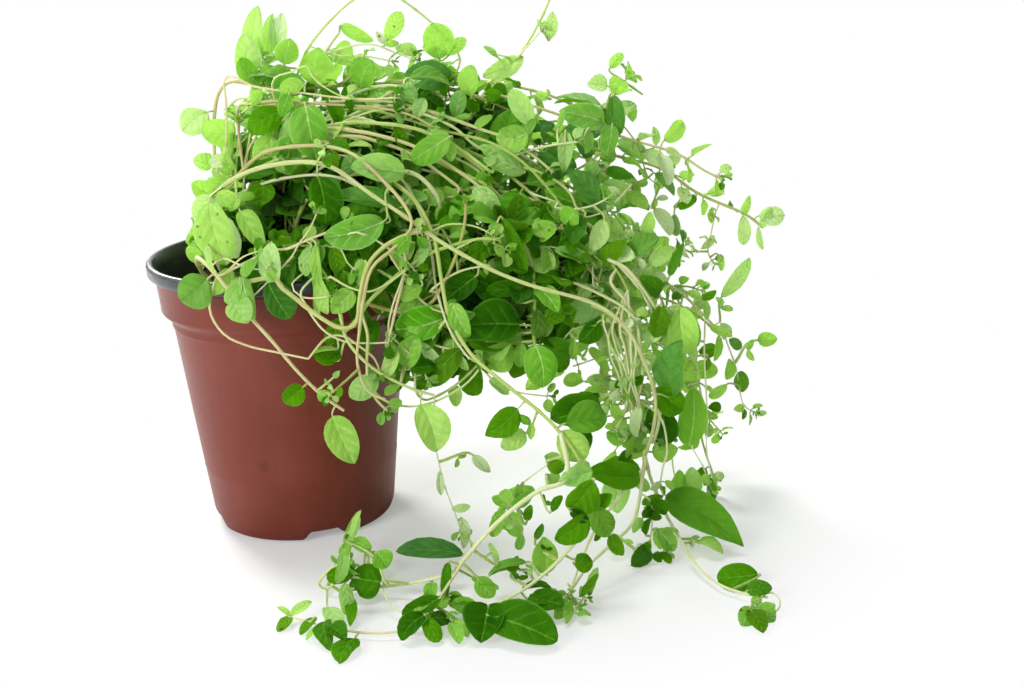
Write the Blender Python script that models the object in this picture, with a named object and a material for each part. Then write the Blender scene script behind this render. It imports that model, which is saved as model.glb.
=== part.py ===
# Potted oregano: a bushy herb in a round nursery pot. Its stems rise from the soil, arch over
# the rim and trail down to the surface that the pot stands on.
# Metres, +Z up. The origin is the centre of the pot's underside. The front faces -Y.
# Routes and tips are written in millimetres and scaled by MM.

import math

import bmesh
import bpy
from mathutils import Matrix, Vector

MM = 0.001
CLEARANCE = 0.3

# Pot: a thin formed shell with a rolled lip, a straight band under it, a tapered body, and
# feet parted by raised drainage channels.
LIP_RADIUS = 60.0
POT_HEIGHT = 122.0
BODY_TOP_RADIUS = 51.0
BODY_FOOT_RADIUS = 41.0
WALL = 1.0
POT_SIDES = 48
CHANNEL_COUNT = 4
CHANNEL_START = -70.0
CHANNEL_LIFT = 3.6
CHANNEL_HALF_ANGLE = 9.0
CHANNEL_FADE = 6.0
CHANNEL_FADE_HEIGHT = 9.0
CHANNEL_INNER_RADIUS = 14.0
HOLE_RADIUS = 4.0
HOLE_DISTANCE = 28.0

# Soil: fills the pot to a little under the lip, with a socket round the foot of each stem.
SOIL_EDGE = 106.0
SOIL_CROWN = 109.5
SOCKET_DEPTH = 9.0

# Stems: six-sided tubes, with a ring about every RING_STEP along them.
RING_STEP = 12.0
STEM_TAPER = 0.62
FOOT_RISE = 3.0
STEM_INSET = 0.15

# Leaves: thin blades on a short stalk, folded a little along the midrib.
LEAF_THICKNESS = 0.8
STALK_WIDTH = 1.1
STALK_SHARE = 0.16
LEAF_INSET = 0.1
FOLD = 0.10

COLOURS = {
    "pot": ((0.155, 0.043, 0.026), 0.42),
    "soil": ((0.050, 0.030, 0.018), 0.95),
    "paleStem": ((0.480, 0.560, 0.220), 0.55),
    "pinkStem": ((0.450, 0.270, 0.150), 0.55),
    "brightLeaf": ((0.230, 0.480, 0.050), 0.50),
    "darkLeaf": ((0.045, 0.190, 0.025), 0.45),
    "paleLeaf": ((0.360, 0.520, 0.200), 0.60),
}

# Each main stem: radius at its foot, colour, and its route from the soil (or from the stem
# that carries it) to its tip.
STEMS = {
    "stem_01": (1.3, "paleStem", [
        (-26, -4, 107), (-30, -7, 124), (-31, -10, 141), (-22, -22, 154), (-1, -36, 165),
        (26, -46, 167), (50, -54, 151), (79, -61, 131), (104, -65, 119), (130, -65, 110),
        (144, -66, 99), (152, -68, 82), (155, -69, 69), (154, -68, 56), (151, -66, 44),
    ]),
    "stem_02": (1.1, "pinkStem", [
        (-22, 3, 107), (-27, 3, 128), (-28, 1, 143), (-12, -16, 161), (4, -29, 171),
        (34, -41, 171), (52, -52, 158), (60, -59, 144), (53, -66, 136), (44, -71, 129),
        (40, -74, 117), (38, -77, 104), (37, -78, 92), (40, -80, 82), (47, -81, 78),
    ]),
    "stem_03": (1.2, "paleStem", [
        (-12, -5, 107), (-15, -6, 130), (-4, -10, 156), (27, -14, 172), (55, -20, 168),
        (75, -26, 160), (94, -32, 150), (102, -38, 136), (107, -45, 122), (108, -51, 108),
        (107, -56, 96), (108, -60, 88),
    ]),
    "stem_04": (1.2, "paleStem", [
        (-6, 5, 107), (-8, 5, 132), (6, 2, 160), (27, -2, 177), (54, -7, 175),
        (80, -13, 166), (96, -19, 158), (110, -24, 146), (124, -30, 128), (137, -34, 108),
        (145, -40, 88), (148, -44, 68), (151, -47, 52),
    ]),
    "stem_05": (1.2, "paleStem", [
        (3, 11, 107), (1, 12, 135), (14, 8, 165), (40, 5, 181), (65, 3, 179),
        (92, 0, 168), (114, -4, 154), (124, -9, 142), (131, -12, 126), (143, -12, 114),
        (160, -11, 106), (174, -10, 96), (185, -10, 85), (192, -10, 76),
    ]),
    "stem_06": (1.3, "paleStem", [
        (9, -7, 107), (6, -11, 128), (16, -20, 150), (38, -30, 160), (58, -43, 153),
        (68, -55, 139), (71, -63, 122), (74, -68, 108), (82, -75, 94), (94, -83, 84),
        (107, -91, 74), (118, -97, 63), (123, -101, 55),
    ]),
    "stem_07": (1.2, "pinkStem", [
        (16, 15, 107), (15, 17, 138), (30, 17, 168), (54, 13, 185), (78, 12, 188),
        (100, 10, 178), (120, 9, 168), (142, 10, 158), (166, 10, 150), (182, 10, 139),
        (203, 10, 128), (212, 11, 121),
    ]),
    "stem_08": (1.1, "pinkStem", [
        (-28, 14, 107), (-30, 18, 140), (-30, 22, 178), (-23, 23, 193), (-7, 21, 192),
        (12, 20, 190), (34, 22, 190), (60, 24, 190), (84, 24, 190), (112, 26, 184),
        (132, 26, 176), (142, 26, 170),
    ]),
    "stem_09": (0.9, "paleStem", [
        (-5, 21, 107), (-2, 22, 145), (4, 24, 180), (14, 20, 206), (34, 14, 226),
        (48, 20, 230), (60, 28, 223), (74, 34, 209), (80, 34, 198), (76, 33, 190),
    ]),
    "stem_10": (1.1, "paleStem", [
        (-17, 25, 107), (-20, 27, 150), (-15, 28, 182), (-9, 26, 200), (-6, 25, 206),
    ]),
    "stem_11": (1.1, "paleStem", [
        (7, 27, 107), (9, 29, 150), (14, 28, 182), (20, 26, 202), (28, 26, 213),
    ]),
    "stem_12": (1.1, "paleStem", [
        (21, 24, 107), (28, 28, 140), (48, 32, 170), (76, 24, 182), (98, 21, 192),
        (108, 22, 202), (116, 25, 214), (121, 27, 224),
    ]),
    "stem_13": (1.1, "paleStem", [
        (25, 5, 107), (33, 8, 134), (56, 18, 154), (92, 20, 162), (122, 18, 163),
        (138, 20, 170), (148, 22, 182), (155, 23, 190),
    ]),
    "stem_14": (1.0, "paleStem", [
        (13, 33, 107), (26, 40, 138), (58, 48, 158), (98, 50, 152), (134, 46, 132),
        (158, 38, 104), (172, 28, 74), (180, 18, 44), (184, 6, 22), (188, -8, 8),
    ]),
    "stem_15": (1.1, "pinkStem", [
        (-9, 34, 107), (-10, 43, 140), (6, 54, 162), (36, 62, 158), (68, 68, 136),
        (92, 70, 104), (102, 68, 76),
    ]),
    "stem_16": (1.0, "paleStem", [
        (-25, 29, 107), (-33, 40, 132), (-33, 52, 150), (-20, 62, 150), (-4, 70, 128),
        (6, 74, 98), (10, 74, 74),
    ]),
    "stem_17": (1.2, "pinkStem", [
        (-27, -22, 107), (-31, -32, 122), (-29, -46, 131), (-20, -58, 127), (-9, -65, 114),
        (1, -68, 102), (11, -69, 88), (21, -69, 77), (29, -69, 70),
    ]),
    "stem_18": (0.8, "pinkStem", [
        (-12, -28, 107), (-16, -42, 122), (-19, -56, 125), (-22, -65, 114), (-17, -67, 104),
        (-8, -68, 99), (3, -72, 97), (17, -74, 94),
    ]),
    "stem_19": (1.1, "paleStem", [
        (7, -26, 107), (12, -42, 124), (22, -56, 127), (29, -66, 115), (32, -70, 100),
        (42, -72, 88), (55, -72, 80), (66, -72, 76),
    ]),
    "stem_20": (1.2, "paleStem", [
        (106, -106, 47), (95, -109, 40), (86, -112, 32), (78, -114, 22), (70, -115, 13),
        (60, -110, 8), (44, -106, 5), (30, -104, 4), (20, -101, 4),
    ]),
    "stem_21": (1.0, "paleStem", [
        (148, -70, 26), (144, -77, 18), (134, -88, 14), (125, -98, 10), (118, -107, 5),
        (114, -114, 4),
    ]),
    "stem_22": (1.0, "paleStem", [
        (153, -54, 32), (158, -64, 17), (165, -79, 9), (171, -90, 4), (180, -99, 3),
        (190, -106, 3), (196, -118, 3),
    ]),
    "stem_23": (0.8, "pinkStem", [
        (63, -125, 7), (54, -132, 4), (42, -133, 3), (28, -129, 3), (16, -122, 3),
        (6, -116, 3),
    ]),
    "stem_24": (1.1, "paleStem", [
        (125, -108, 36), (115, -111, 22), (103, -115, 13), (92, -119, 8), (84, -123, 6),
    ]),
}

# Stems that grow out of another stem rather than out of the soil: the stem that carries them,
# and how far along it. At 1 they carry on from its tip.
SIDE_STEMS = {
    "stem_20": ("stem_06", 0.94),
    "stem_21": ("stem_01", 1.0),
    "stem_22": ("stem_04", 1.0),
    "stem_23": ("stem_20", 0.52),
    "stem_24": ("stem_06", 1.0),
}

FRONT = (0.1, -0.95, 0.3)
UP = (0.0, -0.1, 1.0)
SKEW = (0.5, -0.6, 0.6)
BACK = (0.0, 0.9, 0.4)

# Each large leaf: the stem that carries it, how far along that stem, its tip, the blade's
# width, which way its face looks, and its colour.
LEAVES = {
    "leaf_01": ("stem_10", 0.96, (-7, 20, 226), 11, FRONT, "brightLeaf"),
    "leaf_02": ("stem_08", 0.44, (-14, 15, 212), 13, FRONT, "brightLeaf"),
    "leaf_03": ("stem_11", 0.92, (34, 16, 200), 12, FRONT, "brightLeaf"),
    "leaf_04": ("stem_02", 0.34, (20, -18, 164), 17, FRONT, "paleLeaf"),
    "leaf_05": ("stem_08", 0.30, (-42, 12, 174), 14, FRONT, "brightLeaf"),
    "leaf_06": ("stem_01", 0.28, (22, -40, 145), 12, FRONT, "darkLeaf"),
    "leaf_07": ("stem_06", 0.33, (33, -34, 168), 11, FRONT, "paleLeaf"),
    "leaf_08": ("stem_01", 0.12, (-14, -34, 127), 17, FRONT, "paleLeaf"),
    "leaf_09": ("stem_02", 0.60, (26, -60, 141), 14, SKEW, "paleLeaf"),
    "leaf_10": ("stem_17", 0.42, (-34, -62, 117), 15, FRONT, "darkLeaf"),
    "leaf_11": ("stem_17", 0.52, (-6, -72, 109), 11, FRONT, "paleLeaf"),
    "leaf_12": ("stem_17", 0.97, (32, -72, 48), 13, FRONT, "brightLeaf"),
    "leaf_13": ("stem_17", 0.86, (5, -72, 76), 9, SKEW, "darkLeaf"),
    "leaf_14": ("stem_03", 0.93, (79, -62, 102), 17, SKEW, "darkLeaf"),
    "leaf_15": ("stem_03", 0.98, (111, -68, 68), 15, FRONT, "paleLeaf"),
    "leaf_16": ("stem_06", 0.86, (86, -92, 65), 11, FRONT, "darkLeaf"),
    "leaf_17": ("stem_19", 0.96, (66, -78, 54), 14, FRONT, "brightLeaf"),
    "leaf_18": ("stem_08", 0.62, (75, 12, 194), 12, SKEW, "darkLeaf"),
    "leaf_19": ("stem_12", 0.62, (110, 10, 172), 11, FRONT, "darkLeaf"),
    "leaf_20": ("stem_05", 0.60, (128, -16, 156), 14, FRONT, "darkLeaf"),
    "leaf_21": ("stem_04", 0.55, (102, -34, 130), 16, SKEW, "brightLeaf"),
    "leaf_22": ("stem_01", 0.85, (167, -66, 94), 13, FRONT, "darkLeaf"),
    "leaf_23": ("stem_14", 0.80, (179, 10, 44), 13, FRONT, "brightLeaf"),
    "leaf_24": ("stem_06", 0.93, (134, -92, 70), 14, FRONT, "brightLeaf"),
    "leaf_25": ("stem_01", 0.98, (132, -84, 42), 17, SKEW, "darkLeaf"),
    "leaf_26": ("stem_22", 0.30, (191, -68, 7), 18, SKEW, "brightLeaf"),
    "leaf_27": ("stem_22", 0.86, (178, -92, 5), 11, SKEW, "darkLeaf"),
    "leaf_28": ("stem_20", 0.47, (48, -90, 12), 12, SKEW, "darkLeaf"),
    "leaf_29": ("stem_24", 0.88, (111, -143, 1.4), 17, UP, "darkLeaf"),
    "leaf_30": ("stem_24", 0.99, (70, -142, 1.2), 15, UP, "darkLeaf"),
    "leaf_31": ("stem_23", 0.62, (30, -152, 1.2), 10, UP, "brightLeaf"),
    "leaf_32": ("stem_07", 0.98, (222, 12, 126), 9, FRONT, "paleLeaf"),
    "leaf_33": ("stem_15", 0.80, (92, 88, 84), 13, BACK, "darkLeaf"),
    "leaf_34": ("stem_16", 0.78, (-10, 88, 100), 12, BACK, "darkLeaf"),
}


def clear_scene():
    for obj in list(bpy.data.objects):
        bpy.data.objects.remove(obj, do_unlink=True)


def make_material(name):
    colour, roughness = COLOURS[name]
    material = bpy.data.materials.new(name)
    material.use_nodes = True
    shader = material.node_tree.nodes["Principled BSDF"]
    shader.inputs["Base Color"].default_value = (*colour, 1.0)
    shader.inputs["Roughness"].default_value = roughness
    shader.inputs["Metallic"].default_value = 0.0
    material.diffuse_color = (*colour, 1.0)
    return material


def add_object(name, data, material):
    obj = bpy.data.objects.new(name, data)
    data.materials.append(material)
    bpy.context.scene.collection.objects.link(obj)
    return obj


def mesh_from(name, fill):
    """Make a mesh with the function fill, which adds its points and faces to a bmesh."""
    bm = bmesh.new()
    fill(bm)
    bmesh.ops.recalc_face_normals(bm, faces=bm.faces)
    bm.transform(Matrix.Scale(MM, 4))
    mesh = bpy.data.meshes.new(name)
    bm.to_mesh(mesh)
    bm.free()
    return mesh


def add_cut(obj, cutter, name):
    cutter.hide_render = True
    cutter.display_type = "WIRE"
    cut = obj.modifiers.new(name, "BOOLEAN")
    cut.operation = "DIFFERENCE"
    cut.solver = "EXACT"
    cut.object = cutter


# ---- pot and soil ----


def compass_point(angle, radius, height):
    """A point at an angle in degrees, measured from the front towards +X."""
    turn = math.radians(angle)
    return Vector((radius * math.sin(turn), -radius * math.cos(turn), height))


def channel_share(angle, radius):
    """1 inside a drainage channel, 0 on a foot, with a slope between them."""
    pitch = 360.0 / CHANNEL_COUNT
    off = abs((angle - CHANNEL_START + pitch / 2) % pitch - pitch / 2)
    share = 1.0 - (off - CHANNEL_HALF_ANGLE) / CHANNEL_FADE
    return max(0.0, min(1.0, share)) * (radius > CHANNEL_INNER_RADIUS)


def lifted(angle, radius, height):
    """The height of a point near the pot's floor, raised where a channel passes under it."""
    if height > CHANNEL_FADE_HEIGHT:
        return height
    fade = 1.0 - height / CHANNEL_FADE_HEIGHT
    return height + CHANNEL_LIFT * fade * channel_share(angle, radius)


def turned(bm, profile):
    """Turn a profile of (radius, height) points that starts and ends on the axis."""
    angles = [CHANNEL_START + 360.0 * i / POT_SIDES for i in range(POT_SIDES)]
    rings = []
    for radius, height in profile[1:-1]:
        rings.append([
            bm.verts.new(compass_point(angle, radius, lifted(angle, radius, height)))
            for angle in angles
        ])
    for k in range(len(rings) - 1):
        # The diagonal always leaves the narrower ring, so that the soil's faces match the pot's.
        widens = profile[k + 1][0] <= profile[k + 2][0]
        narrow, wide = (rings[k], rings[k + 1]) if widens else (rings[k + 1], rings[k])
        for i in range(POT_SIDES):
            j = (i + 1) % POT_SIDES
            bm.faces.new((narrow[i], narrow[j], wide[j]))
            bm.faces.new((narrow[i], wide[j], wide[i]))
    for ring, (_, height) in ((rings[0], profile[0]), (rings[-1], profile[-1])):
        centre = bm.verts.new((0, 0, height))
        for i in range(POT_SIDES):
            bm.faces.new((centre, ring[i], ring[(i + 1) % POT_SIDES]))


def pot_outside():
    foot = BODY_FOOT_RADIUS
    return [
        (0, 0), (CHANNEL_INNER_RADIUS, 0), (CHANNEL_INNER_RADIUS + 4, 0), (foot - 5, 0),
        (foot - 1.5, 1.5), (foot, 5.5), (BODY_TOP_RADIUS, 96.0), (53.4, 98.6), (55.2, 101.5),
        (56.6, 116.0), (59.2, 116.6), (LIP_RADIUS, 118.0), (LIP_RADIUS, 120.8),
        (59.0, POT_HEIGHT), (58.2, POT_HEIGHT),
    ]


def pot_inside(gap):
    """The inner surface from the axis up to the soil's edge, moved inwards by gap."""
    foot = BODY_FOOT_RADIUS - WALL - gap
    return [
        (0, WALL + gap), (CHANNEL_INNER_RADIUS, WALL + gap),
        (CHANNEL_INNER_RADIUS + 4, WALL + gap), (foot - 4.5, WALL + gap),
        (foot - 1.4, 2.5 + gap), (foot, 6.0 + gap), (BODY_TOP_RADIUS - WALL - gap, 96.4),
        (52.4 - gap, 99.4), (54.2 - gap, 102.0),
    ]


def make_pot(material):
    def fill(bm):
        lip_inside = [(57.3, 121.0), (55.6, 116.4)]
        turned(bm, pot_outside() + lip_inside + pot_inside(0.0)[::-1])

    def fill_holes(bm):
        for i in range(CHANNEL_COUNT):
            angle = CHANNEL_START + i * 360.0 / CHANNEL_COUNT
            hole = bmesh.ops.create_cone(
                bm, cap_ends=True, segments=12, radius1=HOLE_RADIUS, radius2=HOLE_RADIUS, depth=20
            )
            bmesh.ops.translate(bm, verts=hole["verts"], vec=compass_point(angle, HOLE_DISTANCE, 2))

    pot = add_object("pot", mesh_from("pot", fill), material)
    holes = add_object("drainage_holes", mesh_from("drainage_holes", fill_holes), material)
    add_cut(pot, holes, "drainage holes")
    pot.data.shade_smooth()
    pot.data.set_sharp_from_angle(angle=math.radians(40))


def make_soil(material):
    def fill(bm):
        top = [
            (54.35 - CLEARANCE, SOIL_EDGE), (36.0, 108.4), (18.0, 109.2), (0, SOIL_CROWN),
        ]
        turned(bm, pot_inside(CLEARANCE) + top)

    def fill_sockets(bm):
        for name, (radius, _, route) in STEMS.items():
            if name in SIDE_STEMS:
                continue
            x, y, z = route[0]
            wide = radius + CLEARANCE
            socket = bmesh.ops.create_cone(
                bm, cap_ends=True, segments=8, radius1=wide, radius2=wide, depth=2 * SOCKET_DEPTH
            )
            bmesh.ops.translate(bm, verts=socket["verts"], vec=(x, y, z))

    soil = add_object("soil", mesh_from("soil", fill), material)
    sockets = add_object("stem_sockets", mesh_from("stem_sockets", fill_sockets), material)
    add_cut(soil, sockets, "stem sockets")
    soil.data.shade_smooth()
    soil.data.set_sharp_from_angle(angle=math.radians(40))


# ---- stems ----


def hermite(a, b, slope_a, slope_b, t):
    t2 = t * t
    t3 = t2 * t
    return (
        a * (2 * t3 - 3 * t2 + 1)
        + slope_a * (t3 - 2 * t2 + t)
        + b * (3 * t2 - 2 * t3)
        + slope_b * (t3 - t2)
    )


def seat_on_stem(carrier, share, target, inset):
    """Where a piece that grows from a stem towards target starts, and which way it sets off."""
    point, along, radius = place_on_stem(carrier, share)
    if share == 1.0:
        return point + along * (CLEARANCE + inset), along
    outward = target - point
    outward = (outward - along * outward.dot(along)).normalized()
    return point + outward * (radius + CLEARANCE + inset), outward


def smooth_route(name):
    """Points along a stem about every RING_STEP. A straight foot stands in its socket."""
    points = [Vector(point) for point in STEMS[name][2]]
    heading = Vector((0, 0, 1))
    path = []
    if name in SIDE_STEMS:
        start, heading = seat_on_stem(*SIDE_STEMS[name], points[0], STEM_INSET)
        points.insert(0, start)
    else:
        path.append(points[0] - heading * (SOCKET_DEPTH - CLEARANCE))
        points[0] = points[0] + heading * FOOT_RISE
    last = len(points) - 1
    slopes = [(points[min(i + 1, last)] - points[max(i - 1, 0)]) / 2 for i in range(last + 1)]
    slopes[0] = heading * (points[1] - points[0]).length
    for i in range(last):
        count = max(1, round((points[i + 1] - points[i]).length / RING_STEP))
        for k in range(count):
            path.append(hermite(points[i], points[i + 1], slopes[i], slopes[i + 1], k / count))
    path.append(points[last])
    return path


def lengths_along(path):
    lengths = [0.0]
    for a, b in zip(path, path[1:]):
        lengths.append(lengths[-1] + (b - a).length)
    return lengths


def stem_radius(name, share):
    return STEMS[name][0] * (1.0 - (1.0 - STEM_TAPER) * share)


def make_stem(name, materials):
    _, colour, _ = STEMS[name]
    path = smooth_route(name)
    lengths = lengths_along(path)
    curve = bpy.data.curves.new(name, "CURVE")
    curve.dimensions = "3D"
    curve.bevel_depth = MM
    curve.bevel_resolution = 1
    curve.use_fill_caps = True
    spline = curve.splines.new("POLY")
    spline.points.add(len(path) - 1)
    for point, place, length in zip(spline.points, path, lengths):
        point.co = (*(place * MM), 1.0)
        point.radius = stem_radius(name, length / lengths[-1])
    add_object(name, curve, materials[colour])


# ---- leaves ----


def place_on_stem(name, share):
    """The point at a share of a stem's length, the stem's direction there, and its radius."""
    path = smooth_route(name)
    lengths = lengths_along(path)
    target = share * lengths[-1]
    i = max(k for k in range(len(path) - 1) if lengths[k] <= target)
    step = path[i + 1] - path[i]
    point = path[i] + step * ((target - lengths[i]) / step.length)
    return point, step.normalized(), stem_radius(name, share)


def blade_width(share, width):
    if share <= STALK_SHARE:
        return STALK_WIDTH
    along = (share - STALK_SHARE) / (1.0 - STALK_SHARE)
    return max(STALK_WIDTH, width * math.sin(math.pi * along ** 0.85) ** 0.8)


def make_leaf(name, materials):
    stem, share, tip, width, facing, colour = LEAVES[name]
    tip = Vector(tip)
    facing = Vector(facing).normalized()
    base, outward = seat_on_stem(stem, share, tip, LEAF_INSET)
    reach = (tip - base).length
    shoulder = base + outward * (reach * 0.35) + facing * (reach * 0.08)

    def centre(t):
        return base * (1 - t) ** 2 + shoulder * (2 * t * (1 - t)) + tip * t * t

    def fill(bm):
        rows = []
        for t in (0.0, 0.12, 0.22, 0.38, 0.55, 0.72, 0.88):
            direction = (centre(t + 0.02) - centre(t)).normalized()
            side = direction.cross(facing).normalized()
            face = side.cross(direction)
            half = blade_width(t, width) / 2
            raised = face * (FOLD * (2 * half - STALK_WIDTH))
            middle = centre(t)
            rows.append([
                bm.verts.new(middle - side * half + raised),
                bm.verts.new(middle),
                bm.verts.new(middle + side * half + raised),
            ])
        point = bm.verts.new(tip)
        for near, far in zip(rows, rows[1:]):
            bm.faces.new((near[0], near[1], far[1], far[0]))
            bm.faces.new((near[1], near[2], far[2], far[1]))
        bm.faces.new((rows[-1][0], rows[-1][1], point))
        bm.faces.new((rows[-1][1], rows[-1][2], point))

    leaf = add_object(name, mesh_from(name, fill), materials[colour])
    skin = leaf.modifiers.new("thickness", "SOLIDIFY")
    skin.thickness = LEAF_THICKNESS * MM
    skin.offset = 0.0
    leaf.data.shade_smooth()


def main():
    clear_scene()
    materials = {name: make_material(name) for name in COLOURS}
    make_pot(materials["pot"])
    make_soil(materials["soil"])
    for name in STEMS:
        make_stem(name, materials)
    for name in LEAVES:
        make_leaf(name, materials)


main()
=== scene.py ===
import math
import random

import bpy
from mathutils import Matrix, Vector, kdtree, noise


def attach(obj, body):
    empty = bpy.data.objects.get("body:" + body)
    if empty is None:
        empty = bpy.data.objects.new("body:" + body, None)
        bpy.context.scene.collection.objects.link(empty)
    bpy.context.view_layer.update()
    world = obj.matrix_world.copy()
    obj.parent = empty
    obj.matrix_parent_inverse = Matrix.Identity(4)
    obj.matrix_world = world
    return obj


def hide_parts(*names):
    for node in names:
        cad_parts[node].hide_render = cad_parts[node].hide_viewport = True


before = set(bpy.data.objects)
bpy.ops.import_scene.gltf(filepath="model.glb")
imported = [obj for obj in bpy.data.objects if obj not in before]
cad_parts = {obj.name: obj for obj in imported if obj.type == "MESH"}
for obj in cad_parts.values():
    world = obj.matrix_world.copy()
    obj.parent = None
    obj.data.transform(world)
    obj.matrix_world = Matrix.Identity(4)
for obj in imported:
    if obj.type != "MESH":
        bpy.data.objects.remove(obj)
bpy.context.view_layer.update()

print("frame loaded:", len(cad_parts), "nodes")

# Places and lengths are in millimetres, from the centre of the pot's underside, with the
# front towards -Y. They become metres when a mesh is made.
mm = 0.001
upward = Vector((0, 0, 1))
nowhere = (0, 0, 0)
chance = random.Random(4)
noise.seed_set(6)  # otherwise its vectors change with the time of day


# Shader maths


class Wire:  # one output socket, so that a finish reads like arithmetic
    def __init__(self, nodes, socket):
        self.nodes = nodes
        self.socket = socket

    def do(self, operation, *others):
        return self.nodes.add("Math", {"operation": operation}, dict(enumerate((self, *others))))

    def __add__(self, other):
        return self.do("ADD", other)

    def __sub__(self, other):
        return self.do("SUBTRACT", other)

    def __rsub__(self, other):
        return self.nodes.add("Math", {"operation": "SUBTRACT"}, {0: other, 1: self})

    def __mul__(self, other):
        return self.do("MULTIPLY", other)

    def __pow__(self, other):
        return self.do("POWER", other)

    def __abs__(self):
        return self.do("ABSOLUTE")

    __radd__ = __add__
    __rmul__ = __mul__

    def step(self, low, high):  # 0 before low, 1 past high, and smooth between them
        ends = {0: self, 1: low, 2: high}
        return self.nodes.add("MapRange", {"interpolation_type": "SMOOTHSTEP"}, ends)

    def inside(self):  # kept between 0 and 1
        return self.nodes.add("Clamp", {}, {0: self})


class Nodes:  # the nodes of one finish
    def __init__(self, tree):
        self.tree = tree
        tree.nodes.clear()

    def add(self, kind, settings, values, out=0):
        node = self.tree.nodes.new("ShaderNode" + kind)
        for name, value in settings.items():
            setattr(node, name, value)
        for name, value in values.items():
            if isinstance(value, Wire):
                self.tree.links.new(value.socket, node.inputs[name])
            else:
                node.inputs[name].default_value = value
        return Wire(self, node.outputs[out]) if node.outputs else None

    def mix(self, first, second, share):  # two colours
        return self.add("Mix", {"data_type": "RGBA"}, {0: share, 6: first, 7: second}, 2)

    def split(self, vector):
        node = self.add("SeparateXYZ", {}, {0: vector}).socket.node
        return [Wire(self, socket) for socket in node.outputs]

    def join(self, x, y, z):
        return self.add("CombineXYZ", {}, {0: x, 1: y, 2: z})

    def where(self):  # the place on the object, in metres
        return self.add("TexCoord", {}, {}, 3)

    def distance(self, where, point):  # point in millimetres
        ends = {0: where, 1: tuple(Vector(point) * mm)}
        return self.add("VectorMath", {"operation": "DISTANCE"}, ends, 1)

    def noise(self, where, scale, detail=3.0, roughness=0.55):
        values = {"Vector": where, "Scale": scale, "Detail": detail, "Roughness": roughness}
        return self.add("TexNoise", {}, values)

    def cells(self, where, scale, feature="F1"):
        return self.add("TexVoronoi", {"feature": feature}, {"Vector": where, "Scale": scale})

    def stored(self, name):  # a value that each point of the mesh holds, as its three parts
        return self.split(self.add("Attribute", {"attribute_name": name}, {}, 1))

    def bump(self, height, strength, depth):
        values = {"Strength": strength, "Distance": depth * mm, "Height": height}
        return self.add("Bump", {}, values)

    def blend(self, share, first, second):  # two surfaces
        return self.add("MixShader", {}, {0: share, 1: first, 2: second})

    def finish(self, values, glow=None, share=0.0):  # with a glow, light comes through
        surface = self.add("BsdfPrincipled", {}, values)
        if glow:
            surface = self.blend(share, surface, self.add("BsdfTranslucent", {}, {"Color": glow}))
        self.add("OutputMaterial", {}, {"Surface": surface})


def colour(red, green, blue):  # screen values from 0 to 255, as the linear ones of a shader
    parts = [value / 255 for value in (red, green, blue)]
    return (*[p / 12.92 if p <= 0.04045 else ((p + 0.055) / 1.055) ** 2.4 for p in parts], 1.0)


def newFinish(name):
    material = bpy.data.materials.new(name)
    material.use_nodes = True
    return material, Nodes(material.node_tree)


# Meshes


class Shape:  # points and faces gathered from many small parts, before they become one mesh
    def __init__(self):
        self.points = []
        self.faces = []
        self.finishes = []
        self.places = []  # where a point lies on its own leaf or stem
        self.tones = []  # what sets its leaf or stem apart from the others

    def addPoint(self, point, place=nowhere, tone=nowhere):
        self.points.append(point * mm)
        self.places.append(place)
        self.tones.append(tone)
        return len(self.points) - 1

    def addFace(self, corners, finish):
        self.faces.append(corners)
        self.finishes.append(finish)

    def mesh(self, name):
        mesh = bpy.data.meshes.new(name)
        mesh.from_pydata(self.points, [], self.faces)
        return mesh


def newObject(name, data):
    made = bpy.data.objects.new(name, data)
    bpy.context.scene.collection.objects.link(made)
    return made


def addPiece(name, shape, finishes, slot, standsFor, sharp=50):
    mesh = shape.mesh(name)
    for finish in finishes:
        mesh.materials.append(finish)
    mesh.polygons.foreach_set("material_index", shape.finishes)
    for field, values in (("place", shape.places), ("tone", shape.tones)):
        stored = mesh.attributes.new(field, "FLOAT_VECTOR", "POINT")
        stored.data.foreach_set("vector", [part for value in values for part in value])
    mesh.shade_smooth()
    mesh.set_sharp_from_angle(angle=math.radians(sharp))
    piece = newObject(name, mesh)
    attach(piece, "root")
    if standsFor:
        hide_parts(*standsFor)
    return piece


def turnAround(side, across, turn):  # the direction at that angle from side towards across
    return side * math.cos(turn) + across * math.sin(turn)


def addTube(shape, path, radii, tone, finish=0, sides=6, marks=None):
    side = None
    travelled = 0.0
    rings = []
    last = len(path) - 1
    for i, point in enumerate(path):
        before = path[max(i - 1, 0)]
        ahead = (path[min(i + 1, last)] - before).normalized()
        side = side or ahead.orthogonal().normalized()
        side = (side - ahead * side.dot(ahead)).normalized()
        across = ahead.cross(side)
        travelled += (point - before).length
        mark = marks[i] if marks else 0.0
        ring = []
        for k in range(sides):
            out = turnAround(side, across, 2 * math.pi * k / sides)
            ring.append(shape.addPoint(point + out * radii[i], (k / sides, travelled, mark), tone))
        rings.append(ring)
    for near, far in zip(rings, rings[1:]):
        for k in range(sides):
            n = (k + 1) % sides
            shape.addFace((near[k], near[n], far[n], far[k]), finish)
    shape.addFace(tuple(reversed(rings[0])), finish)
    shape.addFace(tuple(rings[-1]), finish)


# Camera, floor and light

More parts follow.
